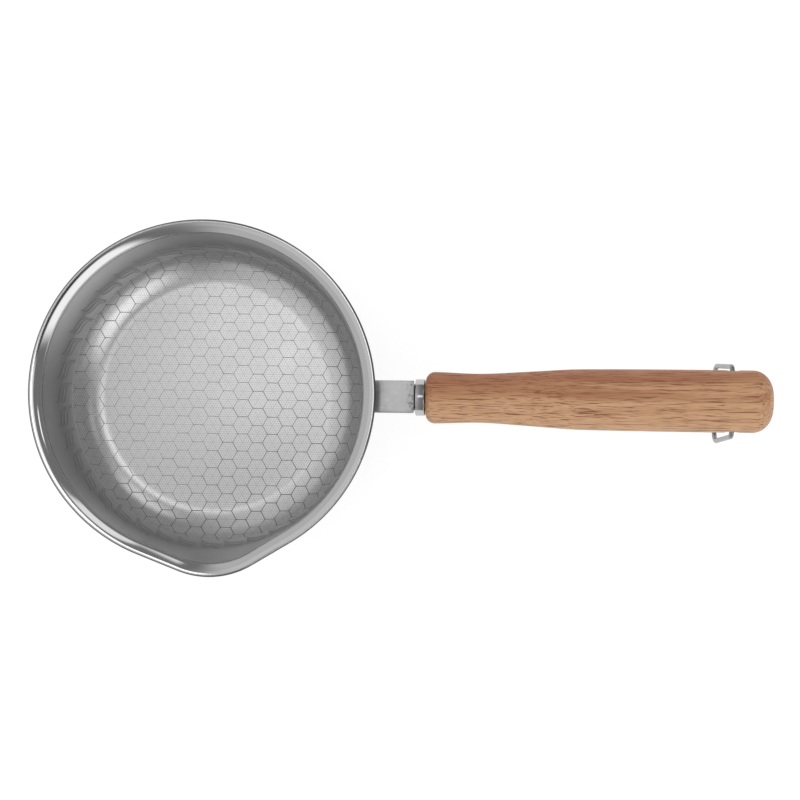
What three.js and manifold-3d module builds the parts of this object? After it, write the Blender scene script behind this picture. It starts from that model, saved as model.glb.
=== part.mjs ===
// Small pressed steel pan with a pouring lip, a sandwich base and an oval wooden handle.
// Millimetres, +Z up. The origin is the centre of the base's underside, +X runs out along
// the handle, and the pouring lip points to -Y.

import * as THREE from 'three';
import { mergeVertices } from 'three/addons/utils/BufferGeometryUtils.js';
import Module from 'manifold-3d';

const wasm = await Module();
wasm.setup();

const { degToRad: degrees, smoothstep: smoothStep } = THREE.MathUtils;

// Clearances
const FIT_GAP = 0.3; // between pieces that nest or rest on each other
const CUT_MARGIN = 2; // how far a cutting tool runs past the surface that it cuts

// Pressed steel body
const RIM_RADIUS = 75;
const INNER_DEPTH = 48;
const BODY_SHEET = 1;
const CORNER_RADIUS = 17; // inside, between the floor and the wall
const WALL_DRAFT = degrees(1.5);
const LIP_BEND_RADIUS = 1.5; // the tight bend where the lip starts, seen in section
const LIP_START = degrees(45); // how far that bend flares away from upright
const LIP_RADIUS = 10.2; // the flared edge, seen in section
const LIP_TURN = degrees(75); // how far the edge flares away from upright

// Pouring lip
const SPOUT_ANGLE = degrees(-85); // measured round from the handle
const SPOUT_REACH = 4.5; // beyond the round rim
const SPOUT_TIP_RADIUS = 36; // seen from above
const SPOUT_DEPTH = 24; // how far down the wall it fades out

// Sandwich base: an aluminium disc held by a thin steel cap
const BASE_INSET = 1.6; // from the edge of the flat floor to the cap
const CAP_SHEET = 0.6;
const CAP_EDGE_RADIUS = 2.4;
const CORE_THICKNESS = 3;

// Bent steel bracket, welded to the wall at one end and bolted to the handle at the other
const BRACKET_BELOW_RIM = 10.4; // to the top of the plate, at the wall
const BRACKET_REACH = 21.4; // from the wall to the face that the handle seats on
const BRACKET_WIDTH = 14.2;
const BRACKET_SHEET = 2;
const WELD_FLANGE_HEIGHT = 17.5;
const WELD_FLANGE_CLIP = 3; // clipped lower corners
const WELD_BEND_RADIUS = 4.4; // at the middle of the sheet
const TAB_WIDTH = 11.6;
const TAB_DROP = 7; // below the bolt
const TAB_BEND_RADIUS = 1.8; // at the middle of the sheet

// Fastening: a hexagon bolt with a split washer, a collar and a threaded insert
const BOLT_RADIUS = 2.5;
const BOLT_LENGTH = 25;
const BOLT_HEAD_FLATS = 8;
const BOLT_HEAD_SIDES = 6;
const BOLT_HEAD_HEIGHT = 3.5;
const WASHER_WIDTH = 1.8;
const WASHER_THICKNESS = 1.3;
const WASHER_SLIT = 0.8;
const COLLAR_RADIUS = 8.15;
const COLLAR_LENGTH = 4.3;
const COLLAR_NOSE_WIDTH = 2.4; // rounded towards the bracket
const COLLAR_NOSE_LENGTH = 1.4;
const COLLAR_HEEL_ROUND = 0.5;
const INSERT_LENGTH = 14;
const INSERT_WALL = 1.4;
const INSERT_FLANGE_RADIUS = 5.6;
const INSERT_FLANGE_THICKNESS = 1;

// Wooden handle: half widths seen from above, at distances from its front face
const HANDLE_RISE = degrees(4);
const HANDLE_BELOW_PLATE = 8; // from the top of the bracket's plate down to the bolt
const HANDLE_LENGTH = 151;
const HANDLE_OVAL_RATIO = 0.88; // height over width
const FRONT_HALF = 11.4;
const FRONT_ROUND = 4;
const WAIST_HALF = 10.8;
const WAIST_AT = 24;
const SHOULDER_HALF = 11.95;
const SHOULDER_AT = 45;
const SWELL_HALF = 13.25;
const SWELL_AT = 66;
const GRIP_HALF = 13.6;
const GRIP_AT = 105;
const END_ROUND_LENGTH = 8.5;
const END_ROUND_WIDTH = 9.5;

// Hanging ring: one bent wire whose two ends meet inside the handle's cross hole
const HOLE_FROM_END = 17.2;
const HOLE_RADIUS = 1.9;
const COUNTERSINK_DEPTH = 1.6;
const WIRE_RADIUS = 1.1;
const RING_SIDE_GAP = 0.5; // between the handle's side and the wire
const RING_DROP = 36.5;
const RING_FLARE = 2.3; // how much further out the lower corners stand
const RING_TOP_BEND = 2.2;
const RING_LOWER_BEND = 5.5;
const RING_END_GAP = 0.6;

// Finishes
const POLISHED_SHEET = { color: 0xc2c3c4, roughness: 0.3, metalness: 1 };
const PLAIN_ALUMINIUM = { color: 0xcfd1d3, roughness: 0.5, metalness: 1 };
const TURNED_SHEET = { color: 0xb4b5b7, roughness: 0.35, metalness: 1 };
const TUMBLED_SHEET = { color: 0xb3b3b3, roughness: 0.4, metalness: 1 };
const PLATED_STEEL = { color: 0xa9abad, roughness: 0.35, metalness: 1 };
const POLISHED_STEEL = { color: 0xc6c7c8, roughness: 0.18, metalness: 1 };
const TURNED_BRASS = { color: 0xb08d4a, roughness: 0.4, metalness: 1 };
const SANDED_WOOD = { color: 0xb48562, roughness: 0.6, metalness: 0 };
const DRAWN_WIRE = { color: 0xacadae, roughness: 0.3, metalness: 1 };

// Facets
const BODY_STEPS = 72;
const CORNER_STEPS = 7;
const WALL_STEPS = 4;
const LIP_STEPS = 4;
const EDGE_STEPS = 4;
const BASE_STEPS = 48;
const SMALL_STEPS = 24;
const HANDLE_STEPS = 28;
const GRIP_STEPS = 16;
const BEND_STEPS = 6;
const WIDTH_STEPS = 8;
const WIRE_SIDES = 8;
const WIRE_STEPS = 88;
const WELD_DISTANCE = 1e-4; // vertices closer than this are one vertex

// Levels and radii of the body, worked out from the sizes above
const BODY_BOTTOM = CAP_SHEET + CORE_THICKNESS;
const FLOOR_Z = BODY_BOTTOM + BODY_SHEET;
const RIM_Z = FLOOR_Z + INNER_DEPTH;
const LIP_EDGE_R = RIM_RADIUS - BODY_SHEET / 2 * (1 + Math.cos(LIP_TURN));
const LIP_CENTRE_R = LIP_EDGE_R + LIP_RADIUS * Math.cos(LIP_TURN);
const LIP_CENTRE_Z = RIM_Z - LIP_RADIUS * Math.sin(LIP_TURN);
const LIP_BEND_R = LIP_CENTRE_R - (LIP_RADIUS - LIP_BEND_RADIUS) * Math.cos(LIP_START);
const LIP_BEND_Z = LIP_CENTRE_Z + (LIP_RADIUS - LIP_BEND_RADIUS) * Math.sin(LIP_START);
const WALL_TOP_R = LIP_BEND_R - LIP_BEND_RADIUS * Math.cos(WALL_DRAFT);
const WALL_TOP_Z = LIP_BEND_Z + LIP_BEND_RADIUS * Math.sin(WALL_DRAFT);
const WALL_FOOT_Z = FLOOR_Z + CORNER_RADIUS * (1 - Math.sin(WALL_DRAFT));
const WALL_FOOT_R = WALL_TOP_R - (WALL_TOP_Z - WALL_FOOT_Z) * Math.tan(WALL_DRAFT);
const FLOOR_RADIUS = WALL_FOOT_R - CORNER_RADIUS * Math.cos(WALL_DRAFT);
const CAP_RADIUS = FLOOR_RADIUS - BASE_INSET;

// The pouring lip is the outline round the rim's circle and a smaller circle at its tip
const SPOUT_CENTRE = RIM_RADIUS + SPOUT_REACH - SPOUT_TIP_RADIUS;
const SPOUT_SPREAD = Math.acos((RIM_RADIUS - SPOUT_TIP_RADIUS) / SPOUT_CENTRE);
const SPOUT_TIP_TURN = Math.atan2(
  SPOUT_TIP_RADIUS * Math.sin(SPOUT_SPREAD),
  SPOUT_CENTRE + SPOUT_TIP_RADIUS * Math.cos(SPOUT_SPREAD),
);

// The handle's own frame starts where the bolt leaves the bracket, and its X runs along the bolt
const PLATE_Z = RIM_Z - BRACKET_BELOW_RIM;
const HANDLE_X = outerWallRadius(PLATE_Z) + FIT_GAP + BRACKET_REACH;
const HANDLE_Z = PLATE_Z + BRACKET_REACH * Math.tan(HANDLE_RISE) - HANDLE_BELOW_PLATE;
const WOOD_FRONT = FIT_GAP + COLLAR_LENGTH + FIT_GAP;
const BOLT_HOLE_RADIUS = BOLT_RADIUS + FIT_GAP;
const INSERT_RADIUS = BOLT_HOLE_RADIUS + INSERT_WALL;
const HEAD_SEAT = -BRACKET_SHEET - FIT_GAP - WASHER_THICKNESS - FIT_GAP;
const HOLE_X = WOOD_FRONT + HANDLE_LENGTH - HOLE_FROM_END;
const RING_SAG = HOLE_RADIUS - WIRE_RADIUS - FIT_GAP; // the wire lies low in its hole
const RING_HALF = GRIP_HALF + RING_SIDE_GAP + WIRE_RADIUS;

const handleFrame = new THREE.Group();
handleFrame.position.set(HANDLE_X, 0, HANDLE_Z);
handleFrame.rotation.y = -HANDLE_RISE;
handleFrame.updateMatrix();

// Turns a shape drawn in Y and Z so that it is extruded along X
const FACING_X = new THREE.Matrix4().makeBasis(
  new THREE.Vector3(0, 1, 0),
  new THREE.Vector3(0, 0, 1),
  new THREE.Vector3(1, 0, 0),
);

// Outer radius of the body's straight wall at a height
function outerWallRadius(z) {
  return WALL_TOP_R - (WALL_TOP_Z - z) * Math.tan(WALL_DRAFT) + BODY_SHEET / Math.cos(WALL_DRAFT);
}

// Closed mesh with shared vertices, no empty triangles, and its faces pointing out
function weld(geometry) {
  geometry.deleteAttribute('normal');
  geometry.deleteAttribute('uv');
  const merged = mergeVertices(geometry, WELD_DISTANCE);
  const corners = merged.index.array;
  const kept = [];
  for (let i = 0; i < corners.length; i += 3) {
    const [a, b, c] = corners.slice(i, i + 3);
    if (a !== b && b !== c && c !== a) kept.push([a, b, c]);
  }
  if (signedVolume(merged, kept) < 0) kept.forEach((triangle) => triangle.reverse());
  merged.setIndex(kept.flat());
  return merged;
}

function signedVolume(geometry, triangles) {
  const position = geometry.attributes.position;
  const [a, b, c] = [new THREE.Vector3(), new THREE.Vector3(), new THREE.Vector3()];
  let volume = 0;
  for (const triangle of triangles) {
    [a, b, c].forEach((corner, i) => corner.fromBufferAttribute(position, triangle[i]));
    volume += a.dot(b.cross(c)) / 6;
  }
  return volume;
}

function solid(geometry) {
  const welded = weld(geometry);
  return new wasm.Manifold(new wasm.Mesh({
    numProp: 3,
    vertProperties: new Float32Array(welded.attributes.position.array),
    triVerts: new Uint32Array(welded.index.array),
  }));
}

function geometryOf(manifold) {
  const mesh = manifold.getMesh();
  const geometry = new THREE.BufferGeometry();
  geometry.setAttribute('position', new THREE.BufferAttribute(mesh.vertProperties, mesh.numProp));
  geometry.setIndex(new THREE.BufferAttribute(mesh.triVerts, 1));
  return geometry;
}

// Section of [radius, height] points turned round Z
function lathe(section, steps, start = 0) {
  const points = section.map(([radius, height]) => new THREE.Vector2(radius, height));
  return weld(new THREE.LatheGeometry(points, steps, start).rotateX(Math.PI / 2));
}

// The same, turned round X
function latheAlongX(section, steps) {
  return lathe(section, steps).rotateY(Math.PI / 2);
}

// Points of a quarter of an ellipse, from its end on the first axis to its end on the second
function quarter(steps, point) {
  return Array.from({ length: steps + 1 }, (_, i) => {
    const turn = i / steps * Math.PI / 2;
    return point(Math.sin(turn), Math.cos(turn));
  });
}

// Path through corner points, with a bend of the given size at each inner corner
function bentPath(corners, bends) {
  const path = new THREE.Path();
  path.moveTo(corners[0].x, corners[0].y);
  bends.forEach((bend, i) => {
    const [before, corner, after] = corners.slice(i, i + 3);
    const entry = before.clone().sub(corner).setLength(bend).add(corner);
    const exit = after.clone().sub(corner).setLength(bend).add(corner);
    path.lineTo(entry.x, entry.y);
    path.quadraticCurveTo(corner.x, corner.y, exit.x, exit.y);
  });
  path.lineTo(corners.at(-1).x, corners.at(-1).y);
  return path;
}

// Closed outline of a sheet whose middle follows a path
function sheetOutline(path, thickness, steps) {
  const middle = path.getPoints(steps);
  const side = (sign) => middle.map((point, i) => {
    const before = middle[Math.max(i - 1, 0)];
    const after = middle[Math.min(i + 1, middle.length - 1)];
    const along = after.clone().sub(before).normalize();
    const across = new THREE.Vector2(-along.y, along.x).multiplyScalar(sign * thickness / 2);
    return across.add(point);
  });
  return new THREE.Shape([...side(1), ...side(-1).reverse()]);
}

// Inside surface of the body from the floor's centre to the lip: radius, height and slope
function insideLine() {
  const line = [{ r: 0, z: FLOOR_Z, slope: 0 }];
  for (let i = 0; i <= CORNER_STEPS; i++) {
    const slope = i / CORNER_STEPS * (Math.PI / 2 - WALL_DRAFT);
    line.push({
      r: FLOOR_RADIUS + CORNER_RADIUS * Math.sin(slope),
      z: FLOOR_Z + CORNER_RADIUS * (1 - Math.cos(slope)),
      slope,
    });
  }
  for (let i = 1; i < WALL_STEPS; i++) {
    line.push({
      r: WALL_FOOT_R + i / WALL_STEPS * (WALL_TOP_R - WALL_FOOT_R),
      z: WALL_FOOT_Z + i / WALL_STEPS * (WALL_TOP_Z - WALL_FOOT_Z),
      slope: Math.PI / 2 - WALL_DRAFT,
    });
  }
  const bend = flared(LIP_BEND_R, LIP_BEND_Z, LIP_BEND_RADIUS, WALL_DRAFT, LIP_START);
  const lip = flared(LIP_CENTRE_R, LIP_CENTRE_Z, LIP_RADIUS, LIP_START, LIP_TURN);
  return [...line, ...bend, ...lip.slice(1)];
}

// Points of a line that flares away from upright, round a centre outside it
function flared(centreR, centreZ, radius, from, to) {
  return Array.from({ length: LIP_STEPS + 1 }, (_, i) => {
    const flare = from + i / LIP_STEPS * (to - from);
    return {
      r: centreR - radius * Math.cos(flare),
      z: centreZ + radius * Math.sin(flare),
      slope: Math.PI / 2 - flare,
    };
  });
}

// Rounded edge of the sheet at the lip
function lipEdge({ r, z, slope }) {
  const half = BODY_SHEET / 2;
  const [middleR, middleZ] = [r + half * Math.sin(slope), z - half * Math.cos(slope)];
  const edge = [];
  for (let i = 1; i < EDGE_STEPS; i++) {
    const turn = slope + Math.PI / 2 - i / EDGE_STEPS * Math.PI;
    edge.push([middleR + half * Math.cos(turn), middleZ + half * Math.sin(turn)]);
  }
  return edge;
}

// How far the pouring lip stands outside the round rim, at an angle away from its middle
function spoutPush(angle) {
  const turn = Math.abs(angle);
  if (turn >= SPOUT_SPREAD) return 0;
  if (turn >= SPOUT_TIP_TURN) return RIM_RADIUS / Math.cos(SPOUT_SPREAD - turn) - RIM_RADIUS;
  const across = SPOUT_CENTRE * Math.sin(turn);
  return SPOUT_CENTRE * Math.cos(turn) + Math.sqrt(SPOUT_TIP_RADIUS ** 2 - across ** 2) - RIM_RADIUS;
}

function panBody() {
  const inside = insideLine();
  const outside = inside.map(({ r, z, slope }) => [
    r + BODY_SHEET * Math.sin(slope),
    z - BODY_SHEET * Math.cos(slope),
  ]);
  const section = [...inside.map(({ r, z }) => [r, z]), ...lipEdge(inside.at(-1)), ...outside.reverse()];
  const body = lathe(section, BODY_STEPS, SPOUT_ANGLE + Math.PI / 2);
  const position = body.attributes.position;
  const point = new THREE.Vector3();
  const spoutDirection = new THREE.Vector3(Math.cos(SPOUT_ANGLE), Math.sin(SPOUT_ANGLE), 0);
  for (let i = 0; i < position.count; i++) {
    point.fromBufferAttribute(position, i);
    const outward = new THREE.Vector3(point.x, point.y, 0).normalize();
    const rise = smoothStep(point.z, RIM_Z - SPOUT_DEPTH, RIM_Z);
    point.addScaledVector(outward, rise * spoutPush(outward.angleTo(spoutDirection)));
    position.setXYZ(i, point.x, point.y, point.z);
  }
  return body;
}

function baseCore() {
  const radius = CAP_RADIUS - CAP_SHEET - FIT_GAP;
  const chamfer = CAP_EDGE_RADIUS - CAP_SHEET;
  return lathe([
    [0, CAP_SHEET],
    [radius - chamfer, CAP_SHEET],
    [radius, CAP_SHEET + chamfer],
    [radius, BODY_BOTTOM],
    [0, BODY_BOTTOM],
  ], BASE_STEPS);
}

function baseCap() {
  const edgeCentre = CAP_RADIUS - CAP_EDGE_RADIUS;
  const edge = (radius) => quarter(EDGE_STEPS, (outward, down) => [
    edgeCentre + radius * outward,
    CAP_EDGE_RADIUS - radius * down,
  ]);
  return lathe([
    [0, 0],
    ...edge(CAP_EDGE_RADIUS),
    [CAP_RADIUS, BODY_BOTTOM],
    [CAP_RADIUS - CAP_SHEET, BODY_BOTTOM],
    ...edge(CAP_EDGE_RADIUS - CAP_SHEET).reverse(),
    [0, CAP_SHEET],
  ], BASE_STEPS);
}

// Corners of the bracket's middle line, seen from the side
function bracketCorners() {
  const along = new THREE.Vector2(Math.cos(HANDLE_RISE), Math.sin(HANDLE_RISE));
  const up = new THREE.Vector2(-along.y, along.x);
  const half = BRACKET_SHEET / 2;
  const tabMiddle = new THREE.Vector2(HANDLE_X, HANDLE_Z).addScaledVector(along, -half);
  const tabFoot = tabMiddle.clone().addScaledVector(up, -TAB_DROP);
  const tabTop = tabMiddle.clone().addScaledVector(up, HANDLE_BELOW_PLATE - half);
  const weldMiddle = (z) => outerWallRadius(z) + FIT_GAP + half;
  const weldTopX = weldMiddle(PLATE_Z);
  const weldTopZ = tabTop.y - (tabTop.x - weldTopX) * Math.tan(HANDLE_RISE);
  const weldFootZ = PLATE_Z - WELD_FLANGE_HEIGHT;
  return [
    new THREE.Vector2(weldMiddle(weldFootZ), weldFootZ),
    new THREE.Vector2(weldTopX, weldTopZ),
    tabTop,
    tabFoot,
  ];
}

// A plate with a window: what lies outside the window is cut away along X
function trimmer(window, low, high, depth) {
  const halfWidth = BRACKET_WIDTH / 2 + 2 * CUT_MARGIN;
  const plate = new THREE.Shape([
    new THREE.Vector2(-halfWidth, low - 2 * CUT_MARGIN),
    new THREE.Vector2(halfWidth, low - 2 * CUT_MARGIN),
    new THREE.Vector2(halfWidth, high + 2 * CUT_MARGIN),
    new THREE.Vector2(-halfWidth, high + 2 * CUT_MARGIN),
  ]);
  plate.holes.push(window);
  const options = { depth, bevelEnabled: false, curveSegments: SMALL_STEPS / 2 };
  return new THREE.ExtrudeGeometry(plate, options).applyMatrix4(FACING_X);
}

// The bolted tab narrows round its bend and ends in a half circle
function tabTrimmer() {
  const half = TAB_WIDTH / 2;
  const bend = TAB_BEND_RADIUS + BRACKET_SHEET / 2;
  const shoulder = HANDLE_BELOW_PLATE - bend;
  const slope = (BRACKET_WIDTH - TAB_WIDTH) / 2 / bend;
  const top = HANDLE_BELOW_PLATE + CUT_MARGIN;
  const topHalf = half + slope * (top - shoulder);
  const window = new THREE.Path();
  window.moveTo(topHalf, top);
  window.lineTo(-topHalf, top);
  window.lineTo(-half, shoulder);
  window.lineTo(-half, half - TAB_DROP);
  window.absarc(0, half - TAB_DROP, half, Math.PI, 2 * Math.PI, false);
  window.lineTo(half, shoulder);
  const trim = trimmer(window, -TAB_DROP, top, bend + CUT_MARGIN);
  return trim.translate(-bend, 0, 0).applyMatrix4(handleFrame.matrix);
}

// The welded flange has clipped lower corners
function weldTrimmer() {
  const half = BRACKET_WIDTH / 2 + CUT_MARGIN;
  const foot = PLATE_Z - WELD_FLANGE_HEIGHT;
  const clip = WELD_FLANGE_CLIP + CUT_MARGIN;
  const footHalf = half - clip - CUT_MARGIN;
  const window = new THREE.Path([
    new THREE.Vector2(half, PLATE_Z),
    new THREE.Vector2(-half, PLATE_Z),
    new THREE.Vector2(-half, foot + clip),
    new THREE.Vector2(-footHalf, foot - CUT_MARGIN),
    new THREE.Vector2(footHalf, foot - CUT_MARGIN),
    new THREE.Vector2(half, foot + clip),
  ]);
  const depth = BRACKET_SHEET + 2 * CUT_MARGIN;
  const start = outerWallRadius(foot) - CUT_MARGIN;
  return trimmer(window, foot, PLATE_Z, depth).translate(start, 0, 0);
}

function handleBracket() {
  const path = bentPath(bracketCorners(), [WELD_BEND_RADIUS, TAB_BEND_RADIUS]);
  const outline = sheetOutline(path, BRACKET_SHEET, BEND_STEPS);
  const options = { depth: BRACKET_WIDTH, steps: WIDTH_STEPS, bevelEnabled: false };
  const strip = new THREE.ExtrudeGeometry(outline, options);
  strip.rotateX(Math.PI / 2).translate(0, BRACKET_WIDTH / 2, 0);
  const wall = outerWallRadius(PLATE_Z);
  const bendEnd = wall + BRACKET_SHEET + WELD_BEND_RADIUS;
  const position = strip.attributes.position;
  for (let i = 0; i < position.count; i++) {
    const hollow = wall - Math.sqrt(wall ** 2 - position.getY(i) ** 2);
    const follow = 1 - smoothStep(position.getX(i), bendEnd, HANDLE_X - BRACKET_SHEET);
    position.setX(i, position.getX(i) - follow * hollow);
  }
  const boltHole = new THREE.CylinderGeometry(
    BOLT_HOLE_RADIUS, BOLT_HOLE_RADIUS, BRACKET_SHEET + 2 * CUT_MARGIN, SMALL_STEPS,
  );
  boltHole.rotateZ(Math.PI / 2).translate(-BRACKET_SHEET / 2, 0, 0).applyMatrix4(handleFrame.matrix);
  const bent = solid(strip).subtract(solid(tabTrimmer())).subtract(solid(weldTrimmer()));
  return geometryOf(bent.subtract(solid(boltHole)));
}

function handleBolt() {
  const headRadius = BOLT_HEAD_FLATS / 2 / Math.cos(Math.PI / BOLT_HEAD_SIDES);
  const head = new THREE.CylinderGeometry(headRadius, headRadius, BOLT_HEAD_HEIGHT, BOLT_HEAD_SIDES);
  head.rotateZ(Math.PI / 2).translate(HEAD_SEAT - BOLT_HEAD_HEIGHT / 2, 0, 0);
  const shankLength = BOLT_LENGTH + BOLT_HEAD_HEIGHT / 2;
  const shank = new THREE.CylinderGeometry(BOLT_RADIUS, BOLT_RADIUS, shankLength, SMALL_STEPS);
  shank.rotateZ(Math.PI / 2).translate(HEAD_SEAT + BOLT_LENGTH - shankLength / 2, 0, 0);
  return geometryOf(solid(head).add(solid(shank)));
}

function lockWasher() {
  const slit = WASHER_SLIT / 2 / BOLT_HOLE_RADIUS;
  const outer = BOLT_HOLE_RADIUS + WASHER_WIDTH;
  const ring = new THREE.Shape();
  ring.absarc(0, 0, outer, slit, 2 * Math.PI - slit, false);
  ring.absarc(0, 0, BOLT_HOLE_RADIUS, 2 * Math.PI - slit, slit, true);
  const options = { depth: WASHER_THICKNESS, bevelEnabled: false, curveSegments: SMALL_STEPS };
  const washer = new THREE.ExtrudeGeometry(ring, options).applyMatrix4(FACING_X);
  return weld(washer.translate(-BRACKET_SHEET - FIT_GAP - WASHER_THICKNESS, 0, 0));
}

function handleCollar() {
  const [front, back] = [FIT_GAP, FIT_GAP + COLLAR_LENGTH];
  const nose = quarter(EDGE_STEPS, (outward, down) => [
    COLLAR_RADIUS - COLLAR_NOSE_WIDTH * (1 - outward),
    front + COLLAR_NOSE_LENGTH * (1 - down),
  ]);
  const heel = quarter(EDGE_STEPS, (inward, up) => [
    COLLAR_RADIUS - COLLAR_HEEL_ROUND * (1 - up),
    back - COLLAR_HEEL_ROUND * (1 - inward),
  ]);
  const start = [BOLT_HOLE_RADIUS, front];
  const section = [start, ...nose, ...heel, [BOLT_HOLE_RADIUS, back], start];
  return latheAlongX(section, HANDLE_STEPS);
}

function threadedInsert() {
  const front = WOOD_FRONT + FIT_GAP;
  const neck = front + INSERT_FLANGE_THICKNESS;
  const back = front + INSERT_LENGTH;
  const start = [BOLT_HOLE_RADIUS, front];
  return latheAlongX([
    start,
    [INSERT_FLANGE_RADIUS, front],
    [INSERT_FLANGE_RADIUS, neck],
    [INSERT_RADIUS, neck],
    [INSERT_RADIUS, back],
    [BOLT_HOLE_RADIUS, back],
    start,
  ], SMALL_STEPS);
}

// Half outline of the handle, seen from above
function handleSection() {
  const front = quarter(EDGE_STEPS, (outward, down) => [
    FRONT_HALF - FRONT_ROUND + FRONT_ROUND * outward,
    FRONT_ROUND * (1 - down),
  ]);
  const grip = new THREE.SplineCurve([
    new THREE.Vector2(FRONT_HALF, FRONT_ROUND),
    new THREE.Vector2(WAIST_HALF, WAIST_AT),
    new THREE.Vector2(SHOULDER_HALF, SHOULDER_AT),
    new THREE.Vector2(SWELL_HALF, SWELL_AT),
    new THREE.Vector2(GRIP_HALF, GRIP_AT),
    new THREE.Vector2(GRIP_HALF, HANDLE_LENGTH - END_ROUND_LENGTH),
  ]);
  const swell = grip.getPoints(GRIP_STEPS).slice(1, -1).map((point) => [point.x, point.y]);
  const end = quarter(2 * EDGE_STEPS, (inward, up) => [
    GRIP_HALF - END_ROUND_WIDTH * (1 - up),
    HANDLE_LENGTH - END_ROUND_LENGTH * (1 - inward),
  ]);
  return [[0, 0], ...front, ...swell, ...end, [0, HANDLE_LENGTH]];
}

// Drill for the bolt and its insert, from the front face into the wood
function insertDrill() {
  const neck = FIT_GAP + INSERT_FLANGE_THICKNESS + FIT_GAP;
  const shoulder = FIT_GAP + INSERT_LENGTH + FIT_GAP;
  const tip = HEAD_SEAT + BOLT_LENGTH + CUT_MARGIN - WOOD_FRONT;
  const depth = Math.max(tip, shoulder + CUT_MARGIN);
  const flange = INSERT_FLANGE_RADIUS + FIT_GAP;
  const sleeve = INSERT_RADIUS + FIT_GAP;
  return latheAlongX([
    [0, -CUT_MARGIN],
    [flange, -CUT_MARGIN],
    [flange, neck],
    [sleeve, neck],
    [sleeve, shoulder],
    [BOLT_HOLE_RADIUS, shoulder],
    [BOLT_HOLE_RADIUS, depth],
    [0, depth],
  ], SMALL_STEPS);
}

// Drill for the ring's wire, with a countersink at each side
function crossDrill() {
  const mouth = GRIP_HALF - COUNTERSINK_DEPTH;
  const reach = GRIP_HALF + CUT_MARGIN;
  const wide = HOLE_RADIUS + reach - mouth;
  const drill = lathe([
    [0, -reach],
    [wide, -reach],
    [HOLE_RADIUS, -mouth],
    [HOLE_RADIUS, mouth],
    [wide, reach],
    [0, reach],
  ], SMALL_STEPS);
  return drill.rotateX(Math.PI / 2).translate(HANDLE_LENGTH - HOLE_FROM_END, 0, 0);
}

function woodenHandle() {
  const turned = latheAlongX(handleSection(), HANDLE_STEPS).scale(1, 1, HANDLE_OVAL_RATIO);
  const drilled = solid(turned).subtract(solid(insertDrill())).subtract(solid(crossDrill()));
  return geometryOf(drilled).translate(WOOD_FRONT, 0, 0);
}

// Middle line of the ring's wire, upright in Y and Z
class WireLine extends THREE.Curve {
  constructor(path) {
    super();
    this.path = path;
  }

  getPoint(t) {
    const point = this.path.getPoint(t);
    return new THREE.Vector3(0, point.x, point.y);
  }
}

function hangingRing() {
  const lower = RING_HALF + RING_FLARE;
  const path = bentPath([
    new THREE.Vector2(RING_END_GAP / 2, 0),
    new THREE.Vector2(RING_HALF, 0),
    new THREE.Vector2(lower, -RING_DROP),
    new THREE.Vector2(-lower, -RING_DROP),
    new THREE.Vector2(-RING_HALF, 0),
    new THREE.Vector2(-RING_END_GAP / 2, 0),
  ], [RING_TOP_BEND, RING_LOWER_BEND, RING_LOWER_BEND, RING_TOP_BEND]);
  const section = new THREE.Shape().absarc(0, 0, WIRE_RADIUS, 0, 2 * Math.PI);
  return weld(new THREE.ExtrudeGeometry(section, {
    extrudePath: new WireLine(path),
    steps: WIRE_STEPS,
    curveSegments: WIRE_SIDES / 2,
  }));
}

function piece(name, geometry, finish) {
  const mesh = new THREE.Mesh(geometry, new THREE.MeshStandardMaterial(finish));
  mesh.name = name;
  return mesh;
}

const pan = new THREE.Group();
pan.add(
  piece('pan_body', panBody(), POLISHED_SHEET),
  piece('base_core', baseCore(), PLAIN_ALUMINIUM),
  piece('base_cap', baseCap(), TURNED_SHEET),
  piece('handle_bracket', handleBracket(), TUMBLED_SHEET),
);

handleFrame.add(
  piece('handle_bolt', handleBolt(), PLATED_STEEL),
  piece('lock_washer', lockWasher(), PLATED_STEEL),
  piece('handle_collar', handleCollar(), POLISHED_STEEL),
  piece('threaded_insert', threadedInsert(), TURNED_BRASS),
  piece('wooden_handle', woodenHandle(), SANDED_WOOD),
);
pan.add(handleFrame);

const ring = piece('hanging_ring', hangingRing(), DRAWN_WIRE);
ring.position.set(HOLE_X, 0, 0).applyMatrix4(handleFrame.matrix);
ring.position.z -= RING_SAG;
pan.add(ring);

export default pan;
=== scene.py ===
"""Small pressed steel pan: etched honeycomb inside, pouring lip, oval wooden handle, hanging ring."""

from math import acos, atan2, cos, pi, radians, sin, sqrt, tan
from types import SimpleNamespace

import bmesh
import bpy
from bmesh.types import BMEdge, BMFace, BMVert
from bpy.props import FloatProperty, FloatVectorProperty, PointerProperty
from bpy.types import Operator, Panel, PropertyGroup
from mathutils import Matrix, Vector


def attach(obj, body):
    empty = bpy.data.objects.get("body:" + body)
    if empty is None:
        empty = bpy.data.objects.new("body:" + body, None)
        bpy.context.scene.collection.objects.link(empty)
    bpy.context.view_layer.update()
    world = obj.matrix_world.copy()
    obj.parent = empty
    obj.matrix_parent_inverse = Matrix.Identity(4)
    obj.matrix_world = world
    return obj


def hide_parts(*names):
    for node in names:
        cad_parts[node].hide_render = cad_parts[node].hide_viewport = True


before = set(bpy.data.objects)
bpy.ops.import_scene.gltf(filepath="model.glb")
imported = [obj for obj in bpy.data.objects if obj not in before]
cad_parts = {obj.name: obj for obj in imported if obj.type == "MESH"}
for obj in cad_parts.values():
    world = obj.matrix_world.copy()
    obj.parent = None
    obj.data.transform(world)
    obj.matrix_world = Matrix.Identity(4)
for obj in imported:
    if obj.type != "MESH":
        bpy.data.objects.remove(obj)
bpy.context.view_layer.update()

bl_info = {
    "name": "Small steel pan",
    "version": (1, 0, 0),
    "blender": (4, 5, 0),
    "location": "View3D > Sidebar > Pan",
    "description": "Dresses the CAD frame of a small steel pan with a wooden handle",
    "category": "Add Mesh",
}

MM = 0.001
MERGE_DISTANCE = 0.001 * MM
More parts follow.
